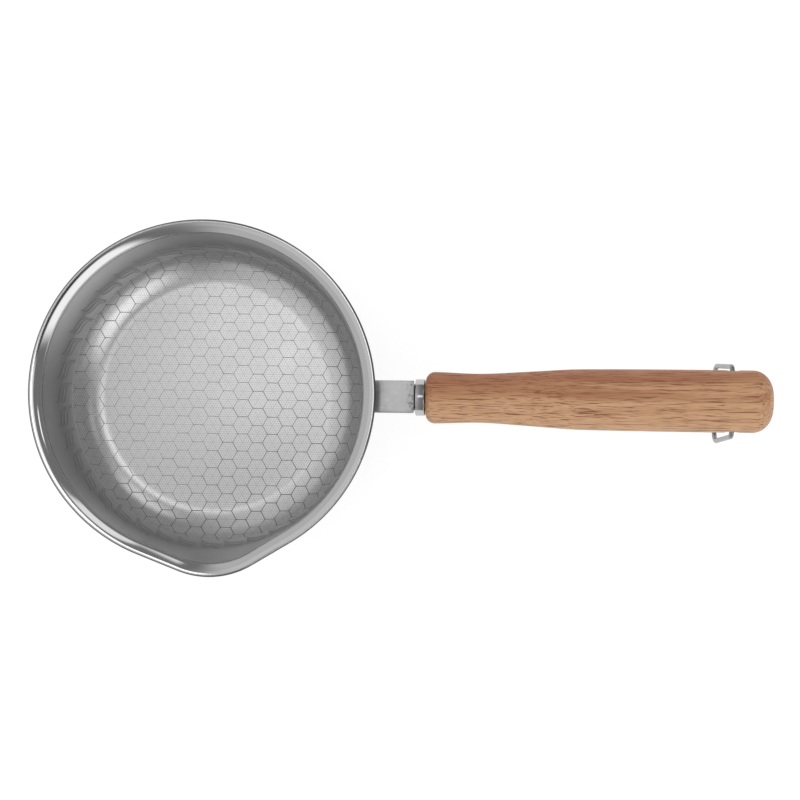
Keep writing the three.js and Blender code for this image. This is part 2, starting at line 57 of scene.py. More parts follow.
# Edges steeper than these are shaded as sharp, and blunted on wire and washer
SHARP_ANGLE = radians(38)
BLUNTED_ANGLE = radians(60)

# Facets round or along each shape
BODY_STEPS = 240
FLOOR_STEPS = 5
CORNER_STEPS = 22
WALL_STEPS = 16
LIP_STEPS = 16
EDGE_STEPS = 8
TURNED_STEPS = 128
SMALL_STEPS = 48
WOOD_STEPS = 96
GRIP_STEPS = 72
BEND_STEPS = 10
WIDTH_STEPS = 14
WIRE_SIDES = 20
WIRE_BEND_STEPS = 14
HEXAGON = 6


def srgb(code):
    """Linear colour, with alpha, of an sRGB hex value."""
    channels = [int(code[i:i + 2], 16) / 255 for i in (0, 2, 4)]
    linear = [c / 12.92 if c <= 0.04045 else ((c + 0.055) / 1.055) ** 2.4 for c in channels]
    return (*linear, 1.0)


def length(name, description, millimetres):
    return FloatProperty(name=name, description=description, default=millimetres * MM, unit="LENGTH")


def turn(name, description, degrees):
    return FloatProperty(name=name, description=description, default=radians(degrees), unit="ROTATION")


def colour(name, description, code):
    return FloatVectorProperty(
        name=name, description=description, default=srgb(code), size=4, subtype="COLOR", min=0, max=1)


class PanBodySizes(PropertyGroup):
    """Sizes of the pressed body, its base and its etching"""
    rim_radius: length("Rim radius", "Round rim, out to its edge", 75)
    rim_level: length("Rim level", "Top of the lip above the table", 52.6)
    floor_level: length("Floor level", "Inside of the floor above the table", 4.6)
    sheet: length("Sheet", "Thickness of the steel sheet", 1)
    corner_radius: length("Corner radius", "Inside, between the floor and the wall", 17)
    wall_draft: turn("Wall draft", "Lean of the wall away from upright", 1.5)
    lip_bend: length("Lip bend", "Bend from the wall into the lip, seen in section", 1.3)
    lip_start: turn("Lip start", "Flare away from upright after the bend", 55)
    lip_radius: length("Lip radius", "Flared edge, seen in section", 8.66)
    lip_turn: turn("Lip turn", "Flare of the edge away from upright", 84)
    lip_edge: length("Lip edge", "Rounding of the sheet's upper edge", 0.9)
    spout_angle: turn("Spout angle", "Place of the pouring lip, round from the handle", -85)
    spout_reach: length("Spout reach", "Pouring lip beyond the round rim", 4.5)
    spout_tip_radius: length("Spout tip", "Radius of the pouring lip, seen from above", 36)
    spout_depth: length("Spout depth", "How far down the wall the pouring lip fades out", 24)
    base_inset: length("Base inset", "From the edge of the flat floor to the cap", 1.6)
    cap_sheet: length("Cap sheet", "Thickness of the cap", 0.6)
    cap_edge: length("Cap edge", "Rounded edge of the cap", 2.4)
    cell_pitch: length("Cell pitch", "Honeycomb cell from flat to flat", 7.97)
    cell_line: length("Cell line", "Width of the etched lines", 0.26)
    border_radius: length("Border radius", "Etched circle round the honeycomb, along the sheet", 69.55)
    leaf_low: length("Leaf band foot", "Lower end of the strokes, in radius and a part of the height", 68.6)
    leaf_high: length("Leaf band top", "Upper end of the strokes, measured the same way", 76.2)


class PanHandleSizes(PropertyGroup):
    """Sizes of the bracket, the fastening, the wooden handle and the ring"""
    fit_gap: length("Fit gap", "Between pieces that rest on each other", 0.3)
    rise: turn("Rise", "Slope of the handle", 4)
    bracket_level: length("Bracket level", "Top of the bracket's plate at the wall", 42.2)
    bracket_reach: length("Bracket reach", "From the wall to the face behind the collar", 21.4)
    bracket_width: length("Bracket width", "Width of the bent strap", 14.2)
    bracket_sheet: length("Bracket sheet", "Thickness of the bent strap", 2)
    flange_height: length("Flange height", "Welded flange below the plate", 17.5)
    flange_clip: length("Flange clip", "Clipped lower corners of the flange", 3)
    flange_bend: length("Flange bend", "Size of the bend at the wall", 4.4)
    tab_width: length("Tab width", "Bolted tab", 11.6)
    tab_drop: length("Tab drop", "Tab below the bolt", 7)
    tab_neck: length("Tab neck", "Below the fold, where the tab narrows", 2.2)
    bolt_drop: length("Bolt drop", "Bolt below the top of the plate", 8)
    bolt_radius: length("Bolt radius", "Shank of the bolt", 2.5)
    bolt_length: length("Bolt length", "Shank of the bolt", 25)
    bolt_flats: length("Bolt flats", "Head of the bolt across its flats", 8)
    bolt_head: length("Bolt head", "Height of the bolt's head", 3.5)
    washer_width: length("Washer width", "Ring of the split washer", 1.8)
    washer_thickness: length("Washer thickness", "Split washer", 1.3)
    washer_slit: length("Washer slit", "Gap of the split washer", 0.8)
    collar_radius: length("Collar radius", "Turned collar", 8.15)
    collar_length: length("Collar length", "Turned collar", 4.3)
    collar_nose_width: length("Collar nose width", "Rounding towards the bracket, across", 1.0)
    collar_nose_length: length("Collar nose length", "Rounding towards the bracket, along", 0.5)
    collar_heel: length("Collar heel", "Rounding towards the wood", 0.5)
    insert_length: length("Insert length", "Threaded insert in the wood", 14)
    insert_radius: length("Insert radius", "Sleeve of the insert", 4.2)
    insert_flange: length("Insert flange", "Flange of the insert", 5.6)
    insert_flange_thickness: length("Insert flange thickness", "Flange of the insert", 1)
    wood_length: length("Handle length", "Wooden handle", 151)
    wood_oval: FloatProperty(name="Handle oval", description="Height over width", default=0.88)
    front_half: length("Front half width", "Handle at its front rounding", 11.4)
    front_round: length("Front rounding", "Rounded front edge of the handle", 4)
    waist_half: length("Waist half width", "Narrow part of the handle", 10.8)
    waist_at: length("Waist place", "From the front of the handle", 24)
    shoulder_half: length("Shoulder half width", "Where the handle widens", 11.95)
    shoulder_at: length("Shoulder place", "From the front of the handle", 45)
    swell_half: length("Swell half width", "Start of the grip", 13.25)
    swell_at: length("Swell place", "From the front of the handle", 66)
    grip_half: length("Grip half width", "Widest part of the handle", 13.6)
    grip_at: length("Grip place", "From the front of the handle", 105)
    end_round_length: length("End rounding along", "Rounded end of the handle", 8.5)
    end_round_width: length("End rounding across", "Rounded end of the handle", 9.5)
    hole_from_end: length("Hole from end", "Cross hole for the ring", 17.2)
    hole_radius: length("Hole radius", "Cross hole for the ring", 1.9)
    countersink: length("Countersink", "Depth of the cross hole's mouths", 1.6)
    wire_radius: length("Wire radius", "Hanging ring", 1.1)
    ring_gap: length("Ring gap", "Between the handle's side and the wire", 0.5)
    ring_drop: length("Ring drop", "Height of the ring", 36.5)
    ring_flare: length("Ring flare", "How much further out the lower corners stand", 2.3)
    ring_top_bend: length("Ring top bend", "Size of the upper bends", 2.2)
    ring_low_bend: length("Ring lower bend", "Size of the lower bends", 5.5)
    ring_end_gap: length("Ring end gap", "Between the wire's two ends", 0.6)


class PanColours(PropertyGroup):
    """Colours of the pan's materials"""
    sheet_steel: colour("Sheet steel", "Stainless sheet, ground", "E2E2E2")
    outer_steel: colour("Outer steel", "Outside of the body, brushed", "BCBDBE")
    etched_steel: colour("Etched steel", "Floor of the etched lines", "6A6A6A")
    polished_steel: colour("Polished steel", "Stainless steel, polished", "D2D2D2")
    # painted shade: the cut edge of the sheet and the lip's rim outside are darkened to stand in for the
    # shade and dark reflection there
    cut_edge_shade: colour("Sheared steel", "Cut edge of the sheet", "6C6C6C")
    cap_steel: colour("Cap steel", "Magnetic steel of the cap", "BFC0C1")
    collar_steel: colour("Collar steel", "Turned collar, polished", "BEBCBD")
    bracket_steel: colour("Bracket steel", "Tumbled steel of the bracket", "CACACA")
    zinc: colour("Zinc plate", "Bolt and washer", "B4B7BA")
    core_aluminium: colour("Aluminium", "Disc in the base", "D4D6D8")
    brass: colour("Brass", "Threaded insert", "C49F57")
    wire_steel: colour("Wire", "Drawn steel wire of the ring", "989899")
    wood_light: colour("Light wood", "Yellower side of the handle", "D0A37B")
    wood_mid: colour("Wood", "Most of the handle", "B6845C")
    wood_red: colour("Red wood", "Redder streaks of the handle", "A66D4B")
    wood_pore: colour("Pores", "Open pores of the wood", "763A22")
    floor: colour("Floor", "Plain pale floor", "F2F2F2")


# Shaping

def only(kind, items):
    """The items of one kind out of mixed geometry."""
    return [item for item in items if isinstance(item, kind)]


def closed_up(bm):
    """Merges seams and poles, and points the faces outwards."""
    bmesh.ops.remove_doubles(bm, verts=bm.verts, dist=MERGE_DISTANCE)
    bmesh.ops.dissolve_degenerate(bm, edges=bm.edges, dist=MERGE_DISTANCE)
    bmesh.ops.recalc_face_normals(bm, faces=bm.faces)


class Section:
    """A pen that draws a section in X and Z, to be turned or drawn out into a solid."""

    def __init__(self, x, z, y=0):
        self.bm = bmesh.new()
        self.tip = self.bm.verts.new((x, y, z))

    def line(self, x, z, pieces=1):
        """Draws straight to a point, in equal pieces."""
        run = Vector((x, self.tip.co.y, z)) - self.tip.co
        for _ in range(pieces):
            start = self.tip.co.copy()
            self.tip = bmesh.ops.extrude_vert_indiv(self.bm, verts=[self.tip])["verts"][0]
            self.tip.co = start + run / pieces

    def arc(self, centre, angle, steps):
        """Draws round a centre in X and Z; a positive angle goes from Z towards X."""
        made = bmesh.ops.spin(
            self.bm, geom=[self.tip], cent=(centre[0], self.tip.co.y, centre[1]), axis=(0, 1, 0),
            angle=angle, steps=steps)
        self.tip = only(BMVert, made["geom_last"])[0]

    def oval(self, centre, level, stretch, steps):
        """Draws a quarter turn about a centre, stretched in Z away from a level."""
        before = set(self.bm.verts)
        self.arc(centre, pi / 2, steps)
        for new in set(self.bm.verts) - before:
            new.co.z = level + (new.co.z - level) * stretch

    def turned(self, axis, steps):
        """Turns the section right round an axis through the origin."""
        section = [*self.bm.verts, *self.bm.edges]
        bmesh.ops.spin(
            self.bm, geom=section, cent=(0, 0, 0), axis=axis, angle=2 * pi, steps=steps, use_merge=True)
        closed_up(self.bm)
        return self.bm


def blunted(bm, width):
    """Takes the sharpness off the edges of a cut piece."""
    sharp = [edge for edge in bm.edges if edge.calc_face_angle(0) > BLUNTED_ANGLE]
    bmesh.ops.bevel(
        bm, geom=sharp, offset=width, offset_type="OFFSET", segments=2, profile=0.5,
        affect="EDGES", material=-1)


def scratch(bm):
    """Puts a bmesh into a passing object."""
    mesh = bpy.data.meshes.new("scratch")
    bm.to_mesh(mesh)
    bm.free()
    made = bpy.data.objects.new("scratch", mesh)
    bpy.context.scene.collection.objects.link(made)
    return made


def worked(bm, steps, tools):
    """Runs modifiers over a bmesh, then cuts each tool's volume out of it."""
    blank = scratch(bm)
    cutters = [scratch(tool) for tool in tools]
    cut = {"operation": "DIFFERENCE", "solver": "EXACT"}
    cuts = [("BOOLEAN", {"object": cutter, **cut}) for cutter in cutters]
    for kind, settings in [*steps, *cuts]:
        modifier = blank.modifiers.new(kind.title(), kind)
        for name, value in settings.items():
            setattr(modifier, name, value)
    result = bmesh.new()
    result.from_object(blank, bpy.context.evaluated_depsgraph_get())
    for passing in [blank, *cutters]:
        mesh = passing.data
        bpy.data.objects.remove(passing)
        bpy.data.meshes.remove(mesh)
    return result


def placed(bm, matrix):
    """Moves a whole bmesh."""
    bmesh.ops.transform(bm, matrix=matrix, verts=bm.verts)


def piece(bm, name, materials, body, nodes):
    """Makes the finished piece that stands for CAD nodes and rides on their body."""
    mesh = bpy.data.meshes.new(name)
    bm.to_mesh(mesh)
    bm.free()
    for material in materials:
        mesh.materials.append(material)
    mesh.shade_smooth()
    mesh.set_sharp_from_angle(angle=SHARP_ANGLE)
    made = bpy.data.objects.new(name, mesh)
    bpy.context.scene.collection.objects.link(made)
    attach(made, body)
    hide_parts(*nodes)


def dressed(node, material):
    """Gives a CAD node, which keeps its shape, a better material."""
    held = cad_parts[node].data.materials
    held.clear()
    held.append(material)


# Sizes that follow from others

def chosen(context):
    """The scene's settings: body, handle and colours."""
    scene = context.scene
    return scene.pan_body, scene.pan_handle, scene.pan_colours


def body_shape(size):
    """Radii and levels of the body's section."""
    lip_end = size.rim_radius - size.lip_edge * (1 + cos(size.lip_turn))
    lip_r = lip_end + size.lip_radius * cos(size.lip_turn)
    lip_z = size.rim_level - size.lip_radius * sin(size.lip_turn)
    bend_r = lip_r - (size.lip_radius - size.lip_bend) * cos(size.lip_start)
    bend_z = lip_z + (size.lip_radius - size.lip_bend) * sin(size.lip_start)
    wall_top_r = bend_r - size.lip_bend * cos(size.wall_draft)
    wall_top_z = bend_z + size.lip_bend * sin(size.wall_draft)
    foot_z = size.floor_level + size.corner_radius * (1 - sin(size.wall_draft))
    foot_r = wall_top_r - (wall_top_z - foot_z) * tan(size.wall_draft)
    return SimpleNamespace(
        lip=(lip_r, lip_z), bend=(bend_r, bend_z), wall_top_r=wall_top_r, wall_top_z=wall_top_z,
        floor_radius=foot_r - size.corner_radius * cos(size.wall_draft))


def outer_wall(size, z):
    """Outer radius of the straight wall at a level."""
    shape = body_shape(size)
    lean = (shape.wall_top_z - z) * tan(size.wall_draft)
    return shape.wall_top_r - lean + size.sheet / cos(size.wall_draft)


def handle_frame(body, handle):
    """Frame whose X runs along the bolt, from the bracket's face."""
    x = outer_wall(body, handle.bracket_level) + handle.fit_gap + handle.bracket_reach
    z = handle.bracket_level + handle.bracket_reach * tan(handle.rise) - handle.bolt_drop
    return Matrix.Translation((x, 0, z)) @ Matrix.Rotation(-handle.rise, 4, "Y")


def spout_push(size, angle):
    """How far the pouring lip stands outside the round rim, at an angle away from its middle."""
    tip = size.spout_tip_radius
    centre = size.rim_radius + size.spout_reach - tip
    spread = acos((size.rim_radius - tip) / centre)
    tip_turn = atan2(tip * sin(spread), centre + tip * cos(spread))
    if angle >= spread:
        return 0
    if angle >= tip_turn:
        return size.rim_radius / cos(spread - angle) - size.rim_radius
    across = centre * sin(angle)
    return centre * cos(angle) + sqrt(tip ** 2 - across ** 2) - size.rim_radius


def smooth(value, low, high):
    """Goes softly from 0 to 1 between two values."""
    t = min(max((value - low) / (high - low), 0), 1)
    return t * t * (3 - 2 * t)


# Materials

SOFT = {"interpolation_type": "SMOOTHSTEP"}
BLENDED = {"data_type": "RGBA"}
SHADED = {"data_type": "RGBA", "blend_type": "MULTIPLY"}
WHITE = (1, 1, 1, 1)
LEVEL = (1, 1, 0)
# Shifts of the honeycomb and of its border, which aren't quite in the middle of the pan
CELLS_SHIFT = (-5.0 * MM, -6.7 * MM, 0)
BORDER_SHIFT = (-1.65 * MM, -0.5 * MM, 0)
# Strokes round the wall: groups, strokes in each, spacing as a share of the band, place of the first
LEAF_GROUPS = 40
LEAF_STROKES = 3
LEAF_SPACING = 0.19
LEAF_PLACE = 0.42
# Share of a point's height that counts with its radius across the band of strokes
LEAF_LEAN = 0.24


def add(tree, kind, *values, **named):
    """Adds a node, with an operation after its kind, and gives the output that it uses.

    Values and links fill its inputs in order or by name; the names in lower case are settings.
    """
    kind, _, operation = kind.partition(" ")
    node = tree.nodes.new("ShaderNode" + kind)
    if operation:
        node.operation = operation
    for name in filter(str.islower, named):
        setattr(node, name, named[name])
    filled = [*zip([socket for socket in node.inputs if socket.enabled], values)]
    filled += [(node.inputs[name], value) for name, value in named.items() if not name.islower()]
    for socket, value in filled:
        if isinstance(value, bpy.types.NodeSocket):
            tree.links.new(value, socket)
        else:
            socket.default_value = value
    return next((output for output in node.outputs if output.enabled), node)


def started(name, metallic=0.0):
    """A new material, its node tree, its shader and the object's own coordinates."""
    material = bpy.data.materials.new(name)
    material.use_nodes = True
    tree = material.node_tree
    shader = tree.nodes["Principled BSDF"]
    shader.inputs["Metallic"].default_value = metallic
    place = add(tree, "TexCoord").node.outputs["Object"]
    return material, tree, shader, place


def finished(tree, shader, tone, rough, height, strength, depth):
    """Links a shader to its colour, its roughness and its relief."""
    bump = add(tree, "Bump", Height=height, Strength=strength, Distance=depth)
    for socket, name in ((tone, "Base Color"), (rough, "Roughness"), (bump, "Normal")):
        tree.links.new(socket, shader.inputs[name])


def near(tree, value, middle, outer, inner):
    """1 close to a middle value, fading out between two distances from it."""
    off = add(tree, "Math SUBTRACT", value, middle)
    off = add(tree, "Math ABSOLUTE", off)
    return add(tree, "MapRange", off, outer, inner, **SOFT)


def drawn_noise(tree, at, grain, detail, roughness=0.5):
    """Noise whose grains have a length of their own along each axis."""
    stretched = add(tree, "Mapping", Vector=at, Scale=[1 / side for side in grain])
    return add(tree, "TexNoise", Vector=stretched, Scale=1.0, Detail=detail, Roughness=roughness)


def unrolled(tree, place, z, size):
    """Place on the flat sheet before pressing, radius in the pan and angle up the corner."""
    flat = add(tree, "VectorMath MULTIPLY", place, LEVEL)
    radius = add(tree, "VectorMath LENGTH", flat)
    bend, level = size.corner_radius, size.floor_level
    climb = add(tree, "Math MULTIPLY_ADD", z, -1 / bend, 1 + level / bend, use_clamp=True)
    climb = add(tree, "Math ARCCOSINE", climb)
    rise = add(tree, "Math SINE", climb)
    longer = add(tree, "Math SUBTRACT", climb, rise)
    longer = add(tree, "Math MULTIPLY_ADD", longer, bend, radius)
    stretch = add(tree, "Math DIVIDE", longer, radius)
    sheet = add(tree, "VectorMath SCALE", flat, Scale=stretch)
    return sheet, radius, climb


def lattice(tree, at, half_x, half_y):
    """Offsets from the nearest points of two lattices, the second in the gaps of the first."""
    corner = (half_x, half_y, 1)
    offsets = []
    for shift in ((0, 0, 0), (half_x, half_y, 0)):
        moved = add(tree, "VectorMath ADD", at, shift)
        wrapped = add(tree, "VectorMath WRAP", moved, corner, [-c for c in corner])
        offsets.append(wrapped)
    return offsets


def honeycomb(tree, at, size):
    """Masks of the cells' outlines and of the finer dots and lines inside them."""
    pitch = size.cell_pitch
    side = pitch / sqrt(3)
    cells = []
    for off in lattice(tree, at, 1.5 * side, pitch / 2):
        folded = add(tree, "VectorMath ABSOLUTE", off)
        slant = add(tree, "VectorMath DOT_PRODUCT", folded, (sqrt(3) / 2, 0.5, 0))
        across = add(tree, "SeparateXYZ", folded).node.outputs["Y"]
        cells.append(add(tree, "Math MAXIMUM", slant, across))
    inside = add(tree, "Math MINIMUM", cells[0], cells[1])
    line_start, line_full = (pitch - size.cell_line) / 2 - 0.08 * MM, pitch / 2 - 0.03 * MM
    outline = add(tree, "MapRange", inside, line_start, line_full, **SOFT)
    # rows of small dots, a quarter further apart than real ones so that they show
    spacing = side / 4
    dots = []
    for off in lattice(tree, at, spacing / 2, spacing * sqrt(3) / 2):
        flat = add(tree, "VectorMath MULTIPLY", off, LEVEL)
        dots.append(add(tree, "VectorMath LENGTH", flat))
    fine = add(tree, "Math MINIMUM", dots[0], dots[1])
    fine = add(tree, "MapRange", fine, 0.48 * MM, 0.18 * MM, **SOFT)
    # faint lines divide each cell into six triangles
    for way in (0, pi / 3, -pi / 3):
        off = add(tree, "VectorMath DOT_PRODUCT", at, (sin(way), cos(way), 0))
        off = add(tree, "Math PINGPONG", off, pitch / 4)
        row = add(tree, "MapRange", off, 0.3 * MM, 0.08 * MM, 0.0, 0.75, **SOFT)
        fine = add(tree, "Math MAXIMUM", fine, row)
    return outline, fine


def leaf_band(tree, xyz, radius, size):
    """Mask of the flame-like groups of strokes round the wall, each curve hooked at both ends."""
    bearing = add(tree, "Math ARCTAN2", xyz["Y"], xyz["X"])
    per_radian = -LEAF_GROUPS / (2 * pi)
    turns = add(tree, "Math MULTIPLY_ADD", bearing, per_radian, LEAF_PLACE)
    along = add(tree, "Math FLOORED_MODULO", turns, 1.0)
    up = add(tree, "Math MULTIPLY_ADD", xyz["Z"], LEAF_LEAN, radius)
    down = add(tree, "MapRange", up, size.leaf_high, size.leaf_low, clamp=False)
    # a curve slopes gently along its group, and a steep power hooks its two ends
    bow = add(tree, "Math SUBTRACT", along, 0.42)
    hook = add(tree, "Math POWER", bow, 5.0)
    curve = add(tree, "Math MULTIPLY_ADD", bow, 0.15, 0.27)
    curve = add(tree, "Math MULTIPLY_ADD", hook, 18.0, curve)
    number = add(tree, "Math SUBTRACT", down, curve)
    number = add(tree, "Math DIVIDE", number, LEAF_SPACING)
    beside = add(tree, "Math PINGPONG", number, 0.5)
    stroke = add(tree, "MapRange", beside, 0.32, 0.1, **SOFT)
    some = add(tree, "Math COMPARE", number, (LEAF_STROKES - 1) / 2, LEAF_STROKES / 2)
    from_tip = add(tree, "MapRange", along, 0.0, 0.05)
    in_band = add(tree, "MapRange", down, 1.0, 0.92)
    fainter = add(tree, "MapRange", number, 0.5, LEAF_STROKES, 1.0, 0.5)
    for limit in (some, from_tip, in_band, fainter):
        stroke = add(tree, "Math MULTIPLY", stroke, limit)
    return stroke


def etched_stainless_inside(size, shape, colours):
    """Ground stainless sheet with acid-etched lines, buffed to a mirror on its lip.

    The ground metal mirrors the light above as a soft pale grey; the etched lines scatter it, so
    they look darker on the bright floor and paler on the dark corner.
    """
    material, tree, shader, place = started("etched_stainless_inside", metallic=1.0)
    xyz = add(tree, "SeparateXYZ", place).node.outputs
    # the pattern was etched before pressing, so it follows the sheet round the corner
    sheet, radius, climb = unrolled(tree, place, xyz["Z"], size)
    cells_at = add(tree, "VectorMath ADD", sheet, CELLS_SHIFT)
    outline, fine = honeycomb(tree, cells_at, size)
    # the etched lines are fainter in patches and towards one side of the floor, and stronger up the corner
    patches = add(tree, "TexNoise", Vector=place, Scale=1 / (9 * MM), Detail=2.0)
    lean = add(tree, "VectorMath DOT_PRODUCT", place, (4.5, -6.5, 0))
    line_strength = add(tree, "Math ADD", patches, lean)
    line_strength = add(tree, "MapRange", line_strength, 0.45, 1.0, 0.26, 1.0)
    line_strength = add(tree, "Math MULTIPLY_ADD", climb, 0.6, line_strength, use_clamp=True)
    outline = add(tree, "Math MULTIPLY", outline, line_strength)
    # the honeycomb ends at an etched circle, which is painted white as a highlight where the lines are
    # faint
    out = add(tree, "VectorMath ADD", sheet, BORDER_SHIFT)
    out = add(tree, "VectorMath LENGTH", out)
    in_cells = add(tree, "MapRange", out, size.border_radius, size.border_radius - 0.3 * MM)
    # a real etched line whose white colour is a painted highlight
    border_and_highlight = near(tree, out, size.border_radius, 0.4 * MM, 0.15 * MM)
    faint = add(tree, "Math SUBTRACT", 1.1, line_strength)
    border_and_highlight = add(tree, "Math MULTIPLY", border_and_highlight, faint)
    fine = add(tree, "Math MULTIPLY", fine, in_cells)
    etched = add(tree, "Math MULTIPLY", outline, in_cells)
    stroke = leaf_band(tree, xyz, radius, size)
    stroke = add(tree, "Math SUBTRACT", stroke, in_cells, use_clamp=True)
    stroke = add(tree, "Math MULTIPLY", stroke, 0.8)
    etched = add(tree, "Math MAXIMUM", etched, stroke)
    # grinding marks run round the wall, and the lip above its crease is buffed; a dark line of painted
    # shade runs along the crease
    marks = drawn_noise(tree, place, (18 * MM, 18 * MM, 0.6 * MM), 3.0)
    top = shape.wall_top_z
    buffed = add(tree, "MapRange", xyz["Z"], top - 1.0 * MM, top + 0.8 * MM, **SOFT)
    # painted shade: a thin dark line in the crease between the wall and the lip
    crease_shade = near(tree, xyz["Z"], top - 0.2 * MM, 0.9 * MM, 0.3 * MM)
    tint = add(tree, "Math MULTIPLY", fine, 0.31)
    tint = add(tree, "Math MULTIPLY_ADD", etched, 0.42, tint, use_clamp=True)
    # painted shade: the ground steel's colour darkens up the wall, from 8 to 26 mm
    painted_wall_shade = add(tree, "MapRange", xyz["Z"], 8 * MM, 26 * MM, 1.0, 0.76)
    tone = add(tree, "Mix", 1.0, colours.sheet_steel, painted_wall_shade, **SHADED)
    for share, steel in (
        (tint, colours.etched_steel), (border_and_highlight, WHITE),
        (crease_shade, colours.etched_steel), (buffed, colours.polished_steel),
    ):
        tone = add(tree, "Mix", share, tone, steel, **BLENDED)
    edge = shape.floor_radius
    on_floor = add(tree, "MapRange", radius, edge + 0.6 * MM, edge - 0.6 * MM)
    rough = add(tree, "MapRange", xyz["Z"], 5 * MM, 24 * MM, 0.25, 0.33)
    rough = add(tree, "Mix", on_floor, rough, 0.25)
    for share, more in ((marks, 0.08), (etched, 0.2), (border_and_highlight, 0.35)):
        rough = add(tree, "Math MULTIPLY_ADD", share, more, rough)
    mirror = add(tree, "MapRange", patches, 0.3, 0.7, 0.06, 0.11)
    rough = add(tree, "Mix", buffed, rough, mirror)
    relief = add(tree, "Math MULTIPLY_ADD", climb, -1.5, -1.0)
    height = add(tree, "Math MULTIPLY", etched, relief)
    height = add(tree, "Math MULTIPLY_ADD", marks, 0.12, height)
    height = add(tree, "Mix", buffed, height, 0.0)
    finished(tree, shader, tone, rough, height, 0.8, 0.12 * MM)
    return material


def brushed_steel(name, steel, spacing, stretch, roughness, depth):
    """Steel brushed in one direction: fine lines, with a soft reflection drawn out across them."""
    material, tree, shader, place = started(name, metallic=1.0)
    lines = drawn_noise(tree, place, [spacing * s for s in stretch], 4.0, 0.6)
    smears = add(tree, "TexNoise", Vector=place, Scale=1 / (16 * MM), Detail=2.0)
    rough = add(tree, "MapRange", lines, 0.3, 0.7, roughness * 0.85, roughness * 1.2)
    rough = add(tree, "Math MULTIPLY_ADD", smears, 0.06, rough)
    tone = add(tree, "MapRange", lines, 0.25, 0.75, 0.86, 1.0)
    tone = add(tree, "Mix", 1.0, steel, tone, **SHADED)
    finished(tree, shader, tone, rough, lines, 0.3, depth)
    return material


def turned_steel(name, steel, spacing, roughness, centre=(0, 0, 0), flat=LEVEL):
    """Steel faced on a lathe: fine rings round the middle."""
    material, tree, shader, place = started(name, metallic=1.0)
    moved = add(tree, "VectorMath SUBTRACT", place, centre)
    moved = add(tree, "VectorMath MULTIPLY", moved, flat)
    radius = add(tree, "VectorMath LENGTH", moved)
    rings = add(tree, "TexNoise", W=radius, Scale=1 / spacing, Detail=3.0, noise_dimensions="1D")
    smears = add(tree, "TexNoise", Vector=place, Scale=1 / (12 * MM), Detail=2.0)
    rough = add(tree, "Math MULTIPLY_ADD", smears, 0.12, roughness - 0.06)
    tone = add(tree, "MapRange", rings, 0.3, 0.7, 0.84, 1.0)
    tone = add(tree, "Mix", 1.0, steel, tone, **SHADED)
    finished(tree, shader, tone, rough, rings, 0.35, 0.03 * MM)
    return material


def tumbled_steel(name, steel, grit, roughness, shaded_bend_at=None):
    """Steel tumbled with stones: an even satin, slightly mottled; from a given place on, patches of painted
    shade darken the bend.
    """
    material, tree, shader, place = started(name, metallic=1.0)
    mottle = add(tree, "TexNoise", Vector=place, Scale=1 / grit, Detail=4.0, Roughness=0.6)
    broad = add(tree, "TexNoise", Vector=place, Scale=1 / (6 * grit), Detail=1.0)
    both = add(tree, "Math ADD", mottle, broad)
    tone = add(tree, "MapRange", both, 0.7, 1.3, 0.84, 1.0)
    if shaded_bend_at is not None:
        # painted shade, broken into patches, where the plate bends down into the tab
        x = add(tree, "SeparateXYZ", place).node.outputs["X"]
        bend_shade = add(tree, "MapRange", x, shaded_bend_at, shaded_bend_at + 3 * MM, **SOFT)
        grains = add(tree, "TexNoise", Vector=place, Scale=1 / (1.1 * MM), Detail=2.0)
        shade_patches = add(tree, "MapRange", grains, 0.52, 0.62)
        bend_shade = add(tree, "Math MULTIPLY", bend_shade, shade_patches)
        tone = add(tree, "Math MULTIPLY_ADD", bend_shade, -0.45, tone)
    tone = add(tree, "Mix", 1.0, steel, tone, **SHADED)
    rough = add(tree, "MapRange", mottle, 0.3, 0.7, roughness - 0.05, roughness + 0.05)
    finished(tree, shader, tone, rough, mottle, 0.2, 0.04 * MM)
    return material


def sanded_hardwood(handle, colours):
    """Open-pored reddish hardwood, sanded and thinly lacquered.

    Short dark pores run along the grain and show as dots on the rounded ends; broad streaks
    change from red to yellow across the handle.
    """
    material, tree, shader, place = started("sanded_hardwood")
    grain = add(tree, "Mapping", Vector=place, Rotation=(0, handle.rise, 0))
    wander = add(tree, "TexNoise", Vector=grain, Scale=1 / (30 * MM), Detail=2.0)
    wander = wander.node.outputs["Color"]
    bend = add(tree, "VectorMath MULTIPLY_ADD", wander, (0, 2 * MM, 2 * MM), grain)
    # paler towards its end and on the side of the pouring lip
    streaks = drawn_noise(tree, bend, (95 * MM, 5 * MM, 7 * MM), 3.0, 0.55)
    streaks = add(tree, "MapRange", streaks, 0.22, 0.78, -0.28, 0.72)
    lean = add(tree, "VectorMath DOT_PRODUCT", grain, (2.2, -38, 0))
    shade = add(tree, "Math ADD", streaks, lean, use_clamp=True)
    ramp = add(tree, "ValToRGB", shade)
    stops = ramp.node.color_ramp.elements
    stops[0].position, stops[0].color = 0.12, colours.wood_red
    stops[1].position, stops[1].color = 0.92, colours.wood_light
    stops.new(0.5).color = colours.wood_mid
    vessels = drawn_noise(tree, bend, (18 * MM, 0.45 * MM, 0.45 * MM), 2.0)
    vessels = add(tree, "MapRange", vessels, 0.55, 0.65, 0.0, 0.82, **SOFT)
    pores = drawn_noise(tree, bend, (8 * MM, 0.36 * MM, 0.36 * MM), 1.0)
    pores = add(tree, "MapRange", pores, 0.58, 0.7, 0.0, 0.55, **SOFT)
    dark = add(tree, "Math MAXIMUM", vessels, pores)
    tone = add(tree, "Mix", dark, ramp, colours.wood_pore, **BLENDED)
    rough = add(tree, "MapRange", dark, 0.0, 1.0, 0.5, 0.7)
    height = add(tree, "Math MULTIPLY", dark, -1.0)
    finished(tree, shader, tone, rough, height, 0.35, 0.12 * MM)
    return material


# Pieces

# Width that the rounded tab keeps at its very end, as a share
TIP_SHARE = 0.04
# How far drills reach past what they cut
SPARE = 2 * MM
# A face of the sheet is inside where its normal rises more than this times its outward lean
INSIDE_LEAN = 3.2


